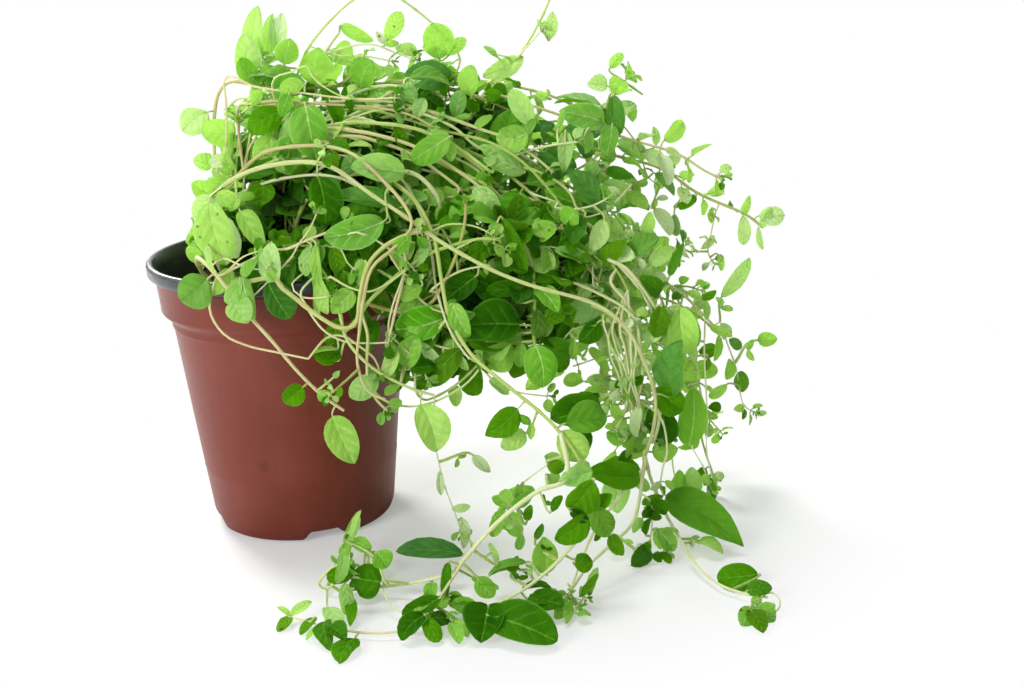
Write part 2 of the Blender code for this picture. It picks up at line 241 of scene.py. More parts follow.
studio = {
    "camera": (98.1, -644.4, 265.4),
    "tilt": 73.6,  # degrees up from straight down
    "roll": -2.35,
    "lens": 52.7,
    "sensor": 36,
    "farthest": 50000,  # that the camera sees
    "floorSize": 16000,
    "floorDrop": 0.1,  # how far the floor lies under the pot
    "floorColour": colour(244, 244, 244),
    "plantMiddle": (90, 0, 0),
    "whiteFrom": (110, 190),  # how far from there the floor turns to plain white
    "nearWhite": 0.3,  # the share of plain white before that
    "worldLight": 0.31,
    "white": (1, 1, 1, 1),
    "aim": (80, -20, 90),  # where the lamps point
    "lamps": {  # place, size, watts
        "window": ((-520, 860, 800), 520, 18.5),
        "top": ((-100, 60, 1200), 500, 6.5),
        "front": ((-620, -860, 520), 600, 8.0),
    },
}


def makeCamera():
    camera = newObject("camera", bpy.data.cameras.new("camera"))
    tilt = Matrix.Rotation(math.radians(studio["tilt"]), 4, "X")
    roll = Matrix.Rotation(math.radians(studio["roll"]), 4, "Z")
    camera.matrix_world = Matrix.Translation(Vector(studio["camera"]) * mm) @ tilt @ roll
    camera.data.lens = studio["lens"]
    camera.data.sensor_width = studio["sensor"]
    camera.data.clip_end = studio["farthest"] * mm
    bpy.context.scene.camera = camera


def makeFloor():
    finish, nodes = newFinish("floor white")
    diffuse = nodes.add("BsdfDiffuse", {}, {"Color": studio["floorColour"]})
    white = nodes.add("Emission", {}, {"Color": studio["white"], "Strength": 1.0})
    seen = nodes.add("LightPath", {}, {})
    away = nodes.distance(nodes.where(), studio["plantMiddle"])
    near, far = [reach * mm for reach in studio["whiteFrom"]]
    share = seen * (studio["nearWhite"] + (1 - studio["nearWhite"]) * away.step(near, far))
    nodes.add("OutputMaterial", {}, {"Surface": nodes.blend(share, diffuse, white)})
    half = studio["floorSize"] / 2
    shape = Shape()
    for x, y in ((-1, -1), (1, -1), (1, 1), (-1, 1)):
        shape.addPoint(Vector((x * half, y * half, -studio["floorDrop"])))
    shape.addFace((0, 1, 2, 3), 0)
    mesh = shape.mesh("floor")
    mesh.materials.append(finish)
    newObject("floor", mesh)


def makeLight():
    world = bpy.data.worlds.new("studio")
    world.use_nodes = True
    bpy.context.scene.world = world
    nodes = Nodes(world.node_tree)
    path = nodes.add("LightPath", {}, {}).socket.node.outputs
    seen = Wire(nodes, path["Is Camera Ray"])
    for ray in ("Is Glossy Ray", "Is Transmission Ray"):
        seen = seen.do("MAXIMUM", Wire(nodes, path[ray]))
    plain, white = [
        nodes.add("Background", {}, {"Color": studio["white"], "Strength": strength})
        for strength in (studio["worldLight"], 1.0)
    ]
    nodes.add("OutputWorld", {}, {"Surface": nodes.blend(seen, plain, white)})
    for name, (place, size, watts) in studio["lamps"].items():
        lamp = bpy.data.lights.new(name, "AREA")
        lamp.shape = "DISK"
        lamp.size = size * mm
        lamp.energy = watts
        holder = newObject(name, lamp)
        holder.location = Vector(place) * mm
        aim = Vector(studio["aim"]) * mm - holder.location
        holder.rotation_euler = aim.to_track_quat("-Z", "Y").to_euler()


makeCamera()
makeFloor()
makeLight()
bpy.context.scene.view_settings.view_transform = "Standard"
print("camera, floor and light made")


# Pot

pot = {
    "sides": 192,
    "channels": 4,
    "firstChannel": -70.0,  # degrees from the front towards +X
    "channelHalfAngle": 9.0,
    "channelFade": 6.0,
    "channelLift": 3.6,
    "channelTop": 9.0,
    "channelStart": 14.0,
    "holeRadius": 4.0,
    "holeDistance": 28.0,
    "holeSides": 32,
    "cut": (-3, 11),  # the heights between which the holes are cut
    "dent": (-12.5, 44.6, 37.5),  # angle, radius and height
    "skin": colour(110, 48, 36),
    "skinLight": colour(132, 64, 50),
    "skinDeep": colour(96, 42, 30),
    "speck": colour(60, 34, 26),
    "dentPaintedShade": colour(84, 40, 32),
    "lip": colour(48, 51, 55),
    "lipWorn": colour(118, 121, 126),
    "roundingSteps": 4,
    # radius, height and corner rounding, from the axis out under the floor and up to the lip
    "outside": [
        (0, 0, 0), (14, 0, 0), (18, 0, 0), (36, 0, 0), (39.4, 0.9, 1.5), (40.9, 5.0, 1.5),
        (43.3, 27.0, 0), (43.55, 27.8, 0), (43.5, 28.6, 0), (50.6, 92.6, 0), (51.3, 93.6, 0.5),
        (51.3, 95.2, 0.6), (51.2, 96.6, 0.6), (55.4, 100.4, 1.2), (55.4, 102.4, 0.5), (56.4, 113.6, 0),
        (56.9, 114.6, 0.5), (56.9, 116.0, 0.6),
    ],
    "lipOutside": [(59.5, 116.2, 0.9), (60.0, 118.0, 0.8), (60.0, 120.9, 1.0), (59.0, 122.0, 0.9)],
    "inside": [
        (57.4, 121.9, 0.6), (55.8, 117.0, 1.0), (54.4, 102.2, 0.5), (50.0, 96.4, 1.0), (40.0, 6.0, 1.5),
        (38.4, 1.9, 1.2), (18, 1, 0), (14, 1, 0), (0, 1, 0),
    ],
    "blackFrom": (57.2, 115.9),  # the radius and height past which the plastic is black
    # height and outer radius, for what hangs against the wall
    "wall": [(0, 41), (5, 41), (96, 51.2), (100, 55.4), (115, 56.9), (117, 60), (122.5, 60)],
    "clear": 0.5,  # how far off the wall it hangs
}


def aroundPot(angle, radius, height):  # the angle is measured from the front towards +X
    turn = math.radians(angle)
    return Vector((radius * math.sin(turn), -radius * math.cos(turn), height))


def channelShare(angle, radius):
    pitch = 360.0 / pot["channels"]
    off = abs((angle - pot["firstChannel"] + pitch / 2) % pitch - pitch / 2)
    share = 1.0 - (off - pot["channelHalfAngle"]) / pot["channelFade"]
    share = max(0.0, min(1.0, share))
    return share * share * (3 - 2 * share) * (radius > pot["channelStart"])


def liftedHeight(angle, radius, height):
    fade = max(0.0, 1.0 - height / pot["channelTop"])
    return height + pot["channelLift"] * fade * channelShare(angle, radius)


def rounded(profile):  # turns each corner that has a rounding into a short arc
    smooth = []
    for i, (radius, height, rounding) in enumerate(profile):
        here = Vector((radius, height))
        if not rounding or i in (0, len(profile) - 1):
            smooth.append(here)
            continue
        before = Vector(profile[i - 1][:2]) - here
        after = Vector(profile[i + 1][:2]) - here
        reach = min(rounding, before.length * 0.45, after.length * 0.45)
        start = here + before.normalized() * reach
        end = here + after.normalized() * reach
        for k in range(pot["roundingSteps"] + 1):
            t = k / pot["roundingSteps"]
            smooth.append(start * (1 - t) ** 2 + here * (2 * t * (1 - t)) + end * t * t)
    return smooth


# Each part is a profile and its finish. The first and the last point lie on the axis.
def turnedShape(parts, sides, lift):
    shape = Shape()
    profile = [(point, finish) for points, finish in parts for point in points]
    rings = []
    for (radius, height), _ in profile:
        if radius == 0:
            rings.append([shape.addPoint(Vector((0, 0, height)))] * sides)
            continue
        ring = []
        for k in range(sides):
            angle = pot["firstChannel"] + 360.0 * k / sides
            point = aroundPot(angle, radius, lift(angle, radius, height))
            ring.append(shape.addPoint(point, (k / sides, height, radius)))
        rings.append(ring)
    for i, (low, high) in enumerate(zip(rings, rings[1:])):
        finish = profile[i + 1][1]
        for k in range(sides):
            n = (k + 1) % sides
            corners = tuple(dict.fromkeys((low[k], low[n], high[n], high[k])))
            if len(corners) > 2:
                shape.addFace(corners, finish)
    return shape


def potOutsideFinish():
    finish, nodes = newFinish("pot terracotta plastic")
    where = nodes.where()
    x, y, z = nodes.split(where)
    cloud = nodes.noise(where, 22.0, 4.0).step(0.3, 0.7)
    streaks = nodes.noise(nodes.join(x * 130, y * 130, z * 9), 1.0, 3.0).step(0.35, 0.75)
    grain = nodes.noise(where, 900.0, 4.0, 0.7)
    scuffs = nodes.noise(nodes.join(x * 60, y * 60, z * 240), 1.0, 5.0, 0.7).step(0.6, 0.78)
    foot = z.step(0.03, 0.0)
    body = nodes.mix(pot["skin"], pot["skinLight"], cloud * 0.5)
    body = nodes.mix(body, pot["skinDeep"], streaks * 0.22 + foot * 0.35)
    body = nodes.mix(body, pot["skinLight"], scuffs * 0.25)
    specks = nodes.cells(where, 420.0).step(0.11, 0.05) * nodes.noise(where, 60.0).step(0.55, 0.7)
    body = nodes.mix(body, pot["speck"], specks * (0.35 + foot * 0.4))
    dent = nodes.distance(where, aroundPot(*pot["dent"])).step(4.2 * mm, 0.4 * mm)
    # painted shade in the dent, darkening the hollow that the bump sinks
    body = nodes.mix(body, pot["dentPaintedShade"], dent * 0.55)
    height = grain * 0.25 + streaks * 0.5 - dent * 6.0 + cloud * 0.6
    nodes.finish({
        "Base Color": body,
        "Roughness": 0.36 + cloud * 0.06 + scuffs * 0.2 + grain * 0.1,
        "Specular IOR Level": 0.2,
        "Normal": nodes.bump(height, 0.35, 0.18),
    })
    return finish


def potLipFinish():
    finish, nodes = newFinish("pot black plastic")
    where = nodes.where()
    x, y, z = nodes.split(where)
    cloud = nodes.noise(where, 45.0, 4.0).step(0.35, 0.7)
    worn = nodes.noise(nodes.join(x * 80, y * 80, z * 500), 1.0, 4.0, 0.7).step(0.5, 0.8)
    dust = nodes.noise(where, 500.0, 4.0, 0.7).step(0.5, 0.75)
    nodes.finish({
        "Base Color": nodes.mix(pot["lip"], pot["lipWorn"], worn * 0.4 + dust * 0.15),
        "Roughness": 0.26 + cloud * 0.12 + worn * 0.15 + dust * 0.1,
        "IOR": 1.5,
        "Normal": nodes.bump(worn * 0.5 + dust * 0.3, 0.25, 0.12),
    })
    return finish


def cutHoles(piece):  # the drainage holes, one in each channel
    holes = Shape()
    for i in range(pot["channels"]):
        angle = pot["firstChannel"] + i * 360.0 / pot["channels"]
        path = [aroundPot(angle, pot["holeDistance"], height) for height in pot["cut"]]
        addTube(holes, path, [pot["holeRadius"]] * 2, nowhere, sides=pot["holeSides"])
    cutter = newObject("drainage holes", holes.mesh("drainage holes"))
    cut = piece.modifiers.new("drainage holes", "BOOLEAN")
    cut.object = cutter
    cut.solver = "EXACT"
    graph = bpy.context.evaluated_depsgraph_get()
    made = bpy.data.meshes.new_from_object(piece.evaluated_get(graph))
    piece.modifiers.clear()
    piece.data = made
    bpy.data.objects.remove(cutter)


def makePot():
    profile = [tuple(point) for point in rounded(pot["outside"] + pot["lipOutside"] + pot["inside"])]
    radius, height = pot["blackFrom"]
    first = next(i for i, point in enumerate(profile) if point[0] > radius and point[1] > height)
    shape = turnedShape([(profile[:first], 0), (profile[first:], 1)], pot["sides"], liftedHeight)
    piece = addPiece("pot", shape, [potOutsideFinish(), potLipFinish()], "pot", ["pot"], 60)
    cutHoles(piece)


makePot()
print("pot made")


def potRadius(height):
    wall = pot["wall"]
    for (lowZ, lowR), (highZ, highR) in zip(wall, wall[1:]):
        if lowZ <= height <= highZ:
            return lowR + (highR - lowR) * (height - lowZ) / (highZ - lowZ)
    return 0.0


# Soil

soil = {
    "edge": 106.0,
    "crown": 109.5,
    "crownReach": 54.0,
    "lumps": 1.5,  # height of the lumps
    "lumpScale": 0.11,
    "sides": 120,
    "rings": 26,
    "radius": 54.2,
    # radius and height, under the plug and up its side
    "under": [(0, 1.3), (14, 1.3), (18, 1.3), (38.2, 2.4), (39.7, 6.3), (49.7, 96.4), (53.9, 102.4)],
    "crumbs": 420,
    "crumbSizes": (0.5, 0.7, 0.9, 1.2, 1.6),
    "crumbGrid": (4, 6),
    "crumbReach": 53,  # from the middle
    "dark": colour(38, 27, 20),
    "brown": colour(84, 60, 42),
    "fibre": colour(140, 108, 74),
}


def soilFinish():
    finish, nodes = newFinish("soil peat")
    where = nodes.where()
    x, y, z = nodes.split(where)
    clods = nodes.noise(where, 260.0, 5.0, 0.7)
    grains = nodes.cells(where, 900.0)
    fibres = nodes.noise(nodes.join(x * 1500, y * 260, z * 700), 1.0, 2.0).step(0.62, 0.72)
    body = nodes.mix(soil["dark"], soil["brown"], clods.step(0.35, 0.7) * 0.75)
    nodes.finish({
        "Base Color": nodes.mix(body, soil["fibre"], fibres * 0.7),
        "Roughness": 0.86 + grains * 0.1,
        "Normal": nodes.bump(clods * 1.0 + grains * 0.5 + fibres * 0.3, 0.9, 0.9),
    })
    return finish


def soilHeight(x, y):
    away = math.hypot(x, y) / soil["crownReach"]
    lump = noise.fractal(Vector((x, y, 3.0)) * soil["lumpScale"], 0.9, 2.1, 4)
    crown = soil["crown"] - soil["edge"]
    return soil["edge"] + crown * (1 - away ** 3) + soil["lumps"] * lump


def addCrumb(shape, centre, size):
    rings, sides = soil["crumbGrid"]
    seed = Vector((chance.random() * 50, chance.random() * 50, 0))
    grid = []
    for i in range(rings + 1):
        tilt = math.pi * i / rings
        row = []
        for k in range(sides):
            turn = 2 * math.pi * k / sides
            level = math.sin(tilt)
            out = Vector((level * math.cos(turn), level * math.sin(turn), math.cos(tilt)))
            rough = 1 + 0.45 * noise.noise(out * 1.3 + seed)
            row.append(shape.addPoint(centre + out * size * rough))
        grid.append(row)
    for near, far in zip(grid, grid[1:]):
        for k in range(sides):
            n = (k + 1) % sides
            shape.addFace((near[k], far[k], far[n], near[n]), 0)


def makeSoil():
    top = [(soil["radius"] * (1 - k / soil["rings"]), soil["edge"]) for k in range(soil["rings"] + 1)]
    shape = turnedShape([(soil["under"], 0), (top, 0)], soil["sides"], liftedHeight)
    for point in shape.points:
        if point.z > (soil["edge"] - 0.5) * mm:
            point.z = soilHeight(point.x / mm, point.y / mm) * mm
    for _ in range(soil["crumbs"]):
        turn = chance.random() * 2 * math.pi
        out = soil["crumbReach"] * math.sqrt(chance.random())
        x, y = out * math.cos(turn), out * math.sin(turn)
        size = chance.choice(soil["crumbSizes"])
        addCrumb(shape, Vector((x, y, soilHeight(x, y) + size * 0.4)), size)
    addPiece("soil", shape, [soilFinish()], "soil", ["soil"], 70)


makeSoil()
print("soil made")


# Stems: the radius at the foot, the skin, and the route from the soil, or from the stem that
# carries it, to the tip.

stems = {
    "stem_01": (1.3, "pale", [
        (-26, -4, 107), (-30, -7, 124), (-31, -10, 141), (-22, -22, 154), (-1, -36, 165),
        (26, -46, 167), (50, -54, 151), (79, -61, 131), (104, -65, 119), (130, -65, 110),
        (144, -66, 99), (152, -68, 82), (155, -69, 69), (154, -68, 56), (151, -66, 44),
    ]),
    "stem_02": (1.1, "pink", [
        (-22, 3, 107), (-27, 3, 128), (-28, 1, 143), (-12, -16, 161), (4, -29, 171),
        (34, -41, 171), (52, -52, 158), (60, -59, 144), (53, -66, 136), (44, -71, 129),
        (40, -74, 117), (38, -77, 104), (37, -78, 92), (40, -80, 82), (47, -81, 78),
    ]),
    "stem_03": (1.2, "pale", [
        (-12, -5, 107), (-15, -6, 130), (-4, -10, 156), (27, -14, 172), (55, -20, 168),
        (75, -26, 160), (94, -32, 150), (102, -38, 136), (107, -45, 122), (108, -51, 108),
        (107, -56, 96), (108, -60, 88),
    ]),
    "stem_04": (1.2, "pale", [
        (-6, 5, 107), (-8, 5, 132), (6, 2, 160), (27, -2, 177), (54, -7, 175),
        (80, -13, 166), (96, -19, 158), (110, -24, 146), (124, -30, 128), (137, -34, 108),
        (145, -40, 88), (148, -44, 68), (151, -47, 52),
    ]),
    "stem_05": (1.2, "pale", [
        (3, 11, 107), (1, 12, 135), (14, 8, 165), (40, 5, 181), (65, 3, 179),
        (92, 0, 168), (114, -4, 154), (124, -9, 142), (131, -12, 126), (143, -12, 114),
        (160, -11, 106), (174, -10, 96), (185, -10, 85), (192, -10, 76),
    ]),
    "stem_06": (1.3, "pale", [
        (9, -7, 107), (6, -11, 128), (16, -20, 150), (38, -30, 160), (58, -43, 153),
        (68, -55, 139), (71, -63, 122), (74, -68, 108), (82, -75, 94), (94, -83, 84),
        (107, -91, 74), (118, -97, 63), (123, -101, 55),
    ]),
    "stem_07": (1.2, "pink", [
        (16, 15, 107), (15, 17, 138), (30, 17, 168), (54, 13, 185), (78, 12, 188),
        (100, 10, 178), (120, 9, 168), (142, 10, 158), (166, 10, 150), (182, 10, 139),
        (203, 10, 128), (212, 11, 121),
    ]),
    "stem_08": (1.1, "pink", [
        (-28, 14, 107), (-30, 18, 140), (-30, 22, 178), (-23, 23, 193), (-7, 21, 192),
        (12, 20, 190), (34, 22, 190), (60, 24, 190), (84, 24, 190), (112, 26, 184),
        (132, 26, 176), (142, 26, 170),
    ]),
    "stem_09": (0.9, "pale", [
        (-5, 21, 107), (-2, 22, 145), (4, 24, 180), (14, 20, 206), (34, 14, 226),
        (48, 20, 230), (60, 28, 223), (74, 34, 209), (80, 34, 198), (76, 33, 190),
    ]),
    "stem_10": (1.1, "pale", [
        (-17, 25, 107), (-20, 27, 150), (-15, 28, 182), (-9, 26, 200), (-6, 25, 206),
    ]),
    "stem_11": (1.1, "pale", [
        (7, 27, 107), (9, 29, 150), (14, 28, 182), (20, 26, 202), (28, 26, 213),
    ]),
    "stem_12": (1.1, "pale", [
        (21, 24, 107), (28, 28, 140), (48, 32, 170), (76, 24, 182), (98, 21, 192),
        (108, 22, 202), (116, 25, 214), (121, 27, 224),
    ]),
    "stem_13": (1.1, "pale", [
        (25, 5, 107), (33, 8, 134), (56, 18, 154), (92, 20, 162), (122, 18, 163),
        (138, 20, 170), (148, 22, 182), (155, 23, 190),
    ]),
    "stem_14": (1.0, "pale", [
        (13, 33, 107), (26, 40, 138), (58, 48, 158), (98, 50, 152), (134, 46, 132),
        (158, 38, 104), (172, 28, 74), (180, 18, 44), (184, 6, 22), (188, -8, 8),
    ]),
    "stem_15": (1.1, "pink", [
        (-9, 34, 107), (-10, 43, 140), (6, 54, 162), (36, 62, 158), (68, 68, 136),
        (92, 70, 104), (102, 68, 76),
    ]),
    "stem_16": (1.0, "pale", [
        (-25, 29, 107), (-33, 40, 132), (-33, 52, 150), (-20, 62, 150), (-4, 70, 128),
        (6, 74, 98), (10, 74, 74),
    ]),
    "stem_17": (1.2, "pink", [
        (-27, -22, 107), (-31, -32, 122), (-29, -46, 131), (-20, -58, 127), (-9, -65, 114),
        (1, -68, 102), (11, -69, 88), (21, -69, 77), (29, -69, 70),
    ]),
    "stem_18": (0.8, "pink", [
        (-12, -28, 107), (-16, -42, 122), (-19, -56, 125), (-22, -65, 114), (-17, -67, 104),
        (-8, -68, 99), (3, -72, 97), (17, -74, 94),
    ]),
    "stem_19": (1.1, "pale", [
        (7, -26, 107), (12, -42, 124), (22, -56, 127), (29, -66, 115), (32, -70, 100),
        (42, -72, 88), (55, -72, 80), (66, -72, 76),
    ]),
    "stem_20": (1.2, "pale", [
        (117, -105, 51), (106, -106, 47), (95, -109, 40), (86, -111, 32), (78, -111, 23),
        (71, -107, 15), (61, -101, 9), (44, -98, 5), (30, -97, 4), (20, -94, 4),
    ]),
    "stem_21": (1.0, "pale", [
        (148, -70, 26), (144, -77, 18), (134, -88, 14), (125, -98, 10), (118, -107, 5),
        (114, -114, 4),
    ]),
    "stem_22": (1.0, "pale", [
        (153, -54, 34), (158, -63, 19), (164, -73, 9), (169, -88, 4), (176, -105, 3),
        (184, -113, 3), (193, -117, 3),
    ]),
    "stem_23": (0.8, "pink", [
        (63, -125, 7), (54, -132, 4), (42, -133, 3), (28, -129, 3), (16, -122, 3),
        (6, -116, 3),
    ]),
    "stem_24": (1.1, "pale", [
        (125, -108, 36), (115, -111, 22), (103, -115, 13), (92, -119, 8), (84, -123, 6),
    ]),
}

# Stems that grow out of another one, and how far along it.
sideStems = {
    "stem_20": ("stem_06", 0.94),
    "stem_21": ("stem_01", 1.0),
    "stem_22": ("stem_04", 1.0),
    "stem_23": ("stem_20", 0.52),
    "stem_24": ("stem_06", 1.0),
}

# The colour of some stems, from olive (0) to cream (1), and how much they blush.
stemTints = {
    "stem_01": (0.7, 0.5), "stem_02": (0.7, 0.6), "stem_17": (0.8, 0.3), "stem_18": (0.9, 0.4),
    "stem_19": (0.6, 0.1), "stem_20": (1.0, 0.0), "stem_21": (0.9, 0.0), "stem_22": (1.0, 0.1),
    "stem_23": (0.9, 0.1), "stem_24": (0.9, 0.0), "stem_09": (0.6, 0.1), "stem_08": (0.7, 0.6),
}

stemLooks = {
    "pale": {"olive": colour(152, 188, 62), "fresh": colour(204, 228, 132), "cream": colour(240, 242, 204)},
    "pink": {"olive": colour(164, 176, 80), "fresh": colour(216, 218, 142), "cream": colour(236, 226, 184)},
    "blush": colour(184, 138, 100),
    "glow": (0.86, 0.93, 0.55, 1),
}

stemShape = {
    "slimness": 0.8,  # of the stems as seen, to the tubes that stand in for them
    "taper": 0.62,
    "rooted": 4,  # how far a stem reaches into the soil
    "spacing": 3.0,  # between the points of its path
    "wander": 0.9,
    "bendiness": 0.035,  # the higher this is, the shorter the bends of the wander
    "steady": 6,  # points at each end over which the wander fades in
    "node": 1.3,  # half the length of a swelling
    "swelling": 0.25,
}


def stemFinish(name):
    look = stemLooks[name]
    finish, nodes = newFinish("stem " + name)
    around, along, mark = nodes.stored("place")
    tint, blush, phase = nodes.stored("tone")
    patch = nodes.noise(nodes.join(around * 3, along * 0.06, phase * 40), 1.0, 3.0).step(0.35, 0.68)
    ribs = nodes.noise(nodes.join(around * 26, along * 0.25, phase * 9), 1.0, 2.0)
    lightness = tint + ribs.step(0.3, 0.7) * 0.3 + patch * 0.2 - 0.25
    body = nodes.mix(look["olive"], look["fresh"], (lightness * 2).inside())
    body = nodes.mix(body, look["cream"], (lightness * 2 - 1).inside())
    body = nodes.mix(body, stemLooks["blush"], (blush * (patch * 0.6 + 0.2) + mark * 0.22).inside())
    hairs = nodes.noise(nodes.where(), 2600.0, 2.0)
    values = {
        "Base Color": body, "Roughness": 0.46 + ribs * 0.15,
        "Normal": nodes.bump(ribs * 0.6 + hairs * 0.5, 0.5, 0.12),
        "Sheen Weight": 0.12, "Sheen Roughness": 0.4,
    }
    nodes.finish(values, stemLooks["glow"], 0.26 + ribs * 0.06)
    return finish


def hermite(a, b, slopeA, slopeB, t):
    t2 = t * t
    t3 = t2 * t
    start = a * (2 * t3 - 3 * t2 + 1) + slopeA * (t3 - 2 * t2 + t)
    return start + b * (3 * t2 - 2 * t3) + slopeB * (t3 - t2)


def curveThrough(points, spacing, heading=None):
    last = len(points) - 1
    slopes = [(points[min(i + 1, last)] - points[max(i - 1, 0)]) / 2 for i in range(last + 1)]
    if heading:
        slopes[0] = heading * (points[1] - points[0]).length
    path = []
    for i in range(last):
        count = max(1, round((points[i + 1] - points[i]).length / spacing))
        for k in range(count):
            path.append(hermite(points[i], points[i + 1], slopes[i], slopes[i + 1], k / count))
    path.append(points[last])
    return path


class Branch:  # a stem or a shoot: its path, its thickness and the stem that it belongs to
    def __init__(self, home, path, thick, thin):
        self.home = home
        self.path = path
        self.thick = thick
        self.thin = thin
        self.nodes = []
        self.lengths = [0.0]
        for a, b in zip(path, path[1:]):
            self.lengths.append(self.lengths[-1] + (b - a).length)
        self.length = self.lengths[-1]
        self.tone = (chance.random(), chance.uniform(0.0, 0.3), chance.random())

    def radius(self, share):
        return self.thick + (self.thin - self.thick) * share

    def at(self, share):  # the point there and the way that the branch runs
        target = share * self.length
        i = max(k for k in range(len(self.path) - 1) if self.lengths[k] <= target)
        step = self.path[i + 1] - self.path[i]
        return self.path[i] + step * ((target - self.lengths[i]) / step.length), step.normalized()

    def beside(self, share, turn):  # the point there, the way it runs and the way out at that turn
        point, ahead = self.at(share)
        side = ahead.orthogonal().normalized()
        return point, ahead, turnAround(side, ahead.cross(side), turn)

    def draw(self, shape, sides):
        radii = []
        marks = []
        for travelled in self.lengths:
            near = min([abs(travelled - share * self.length) for share in self.nodes], default=99)
            mark = math.exp(-((near / stemShape["node"]) ** 2))
            marks.append(mark)
            radii.append(self.radius(travelled / self.length) * (1 + stemShape["swelling"] * mark))
        addTube(shape, self.path, radii, self.tone, 0, sides, marks)


def wandered(path, size, seed):  # a little natural wander that leaves both ends in place
    last = len(path) - 1
    moved = []
    for i, point in enumerate(path):
        ease = min(1.0, i / stemShape["steady"], (last - i) / stemShape["steady"])
        shift = noise.noise_vector(point * stemShape["bendiness"] + Vector((seed * 7.3, 0, 0)))
        moved.append(point + shift * (size * ease))
    return moved


stemBranches = {}


def layStem(name, radius, route):
    points = [Vector(point) for point in route]
    spacing = stemShape["spacing"]
    if name in sideStems:
        carrier, share = sideStems[name]
        points.insert(0, stemBranches[carrier].at(share)[0])
        path = curveThrough(points, spacing)
    else:
        path = [points[0] - upward * stemShape["rooted"]] + curveThrough(points, spacing, upward)
    path = wandered(path, stemShape["wander"], len(stemBranches))
    thick = radius * stemShape["slimness"]
    stemBranches[name] = Branch(name, path, thick, thick * stemShape["taper"])
    if name in stemTints:
        stemBranches[name].tone = (*stemTints[name], chance.random())


for name, (radius, skin, route) in stems.items():
    layStem(name, radius, route)
print("stem routes laid out:", len(stemBranches))


# Leaves

# Each look's rim colour is a painted highlight along a leaf's edge.
leafLooks = {
    "bright": {
        "deep": colour(90, 180, 0), "light": colour(214, 246, 138), "old": colour(226, 238, 140),
        "vein": colour(208, 242, 150), "rim": colour(220, 246, 176),
        "glow": (0.70, 0.93, 0.34, 1), "glowShare": 0.56, "sheen": 0.02, "gloss": 0.09,
        "roughness": 0.40, "tints": (-0.1, 1.2), "paintedHighlight": 0.8, "underside": 0.32,
    },
    "dark": {
        "deep": colour(32, 90, 0), "light": colour(98, 164, 6), "old": colour(132, 170, 34),
        "vein": colour(104, 172, 44), "rim": colour(122, 186, 64),
        "glow": (0.52, 0.9, 0.02, 1), "glowShare": 0.36, "sheen": 0.01, "gloss": 0.06,
        "roughness": 0.38, "tints": (0.0, 1.0), "paintedHighlight": 0.35, "underside": 0.2,
    },
    "pale": {
        "deep": colour(98, 174, 24), "light": colour(216, 246, 168), "old": colour(220, 236, 140),
        "vein": colour(212, 238, 172), "rim": colour(226, 244, 196),
        "glow": (0.72, 0.94, 0.38, 1), "glowShare": 0.5, "sheen": 0.05, "gloss": 0.12,
        "roughness": 0.44, "tints": (0.05, 1.15), "paintedHighlight": 0.8, "underside": 0.32,
    },
}

leafColours = {
    "paintedHighlightColour": colour(242, 249, 220),  # painted highlight: leaves with a tint above 1 are mixed towards this near-white, where light comes through them
    "paintedSheen": colour(116, 168, 116),  # painted sheen: the grey of the sky reflected on some leaves
    # painted shade: the near-black green that leaves in the shaded places, and those with a tint below 0,
    # are mixed towards
    "shade": colour(10, 40, 2),
    "underside": colour(148, 202, 84),
    "blemish": colour(84, 62, 30),
    "stalk": (colour(150, 182, 84), colour(196, 206, 136)),
}

leafShape = {
    "thickness": 0.34,
    "veinPairs": 4.2,
    "floor": 0.25,  # how far over the floor a leaf lies
    "stalk": 0.42,  # radius
    "uneven": 0.4,  # how much wider one half can be than the other
    "ripple": 0.15,  # these two are shares of the leaf's width
    "quilting": 0.011,  # between the veins
    # what bends a leaf and rounds its two ends, where it has no values of its own
    "bends": {
        "fold": (0.2, 0.75), "cup": (0.0, 0.4), "arch": (-0.02, 0.17), "bow": (-0.07, 0.07),
        "twist": (-0.5, 0.5), "blunt": (0.38, 0.68), "point": (0.46, 0.72),
    },
    # a blade's faces along and across it, for each least width
    "grids": ((12, 11, 8), (8, 8, 6), (4.5, 7, 4), (0, 5, 4)),
    # the span of a leaf's age at random: above 0 it turns the old colour, below -0.42 it gets a painted
    # grey sheen
    "ages": (-0.6, 0.45),
    "shade": 2.2,
    # how much the painted light of those places lifts a leaf's tint
    "paintedLightLift": 0.9,
    # where the leaves get painted shade, darkest at each place's middle: middle and reach of each place
    "shaded": [
        ((12, 0, 140), (50, 32, 46)), ((90, -14, 122), (56, 30, 46)), ((60, 0, 168), (64, 18, 22)),
        ((36, -58, 108), (22, 12, 26)), ((8, -54, 120), (30, 9, 16)), ((84, -50, 96), (34, 12, 24)),
    ],
    # where painted light lifts their tint, so that they come out lighter and, past a tint of 1, with a
    # painted highlight
    "paintedLightPlaces": [
        ((-34, -8, 160), (24, 30, 44)), ((10, 16, 216), (34, 24, 24)), ((184, 0, 130), (66, 54, 76)),
        ((140, 24, 198), (56, 40, 40)), ((170, -44, 70), (40, 40, 60)), ((190, -70, 20), (50, 60, 40)),
        ((60, 30, 216), (50, 30, 24)), ((148, -24, 84), (40, 60, 60)),
    ],
    # where a painted grey sheen shows, for the sky reflected on the leaves
    "paintedSheen": [
        ((132, -4, 168), (54, 50, 32)), ((165, -62, 84), (14, 16, 24)), ((66, -22, 186), (34, 30, 14)),
        ((-2, 6, 196), (16, 20, 10)), ((44, -40, 152), (30, 20, 16)), ((138, -24, 142), (24, 26, 18)),
        ((62, -90, 15), (24, 14, 14)), ((66, 4, 195), (16, 12, 10)),
    ],
}

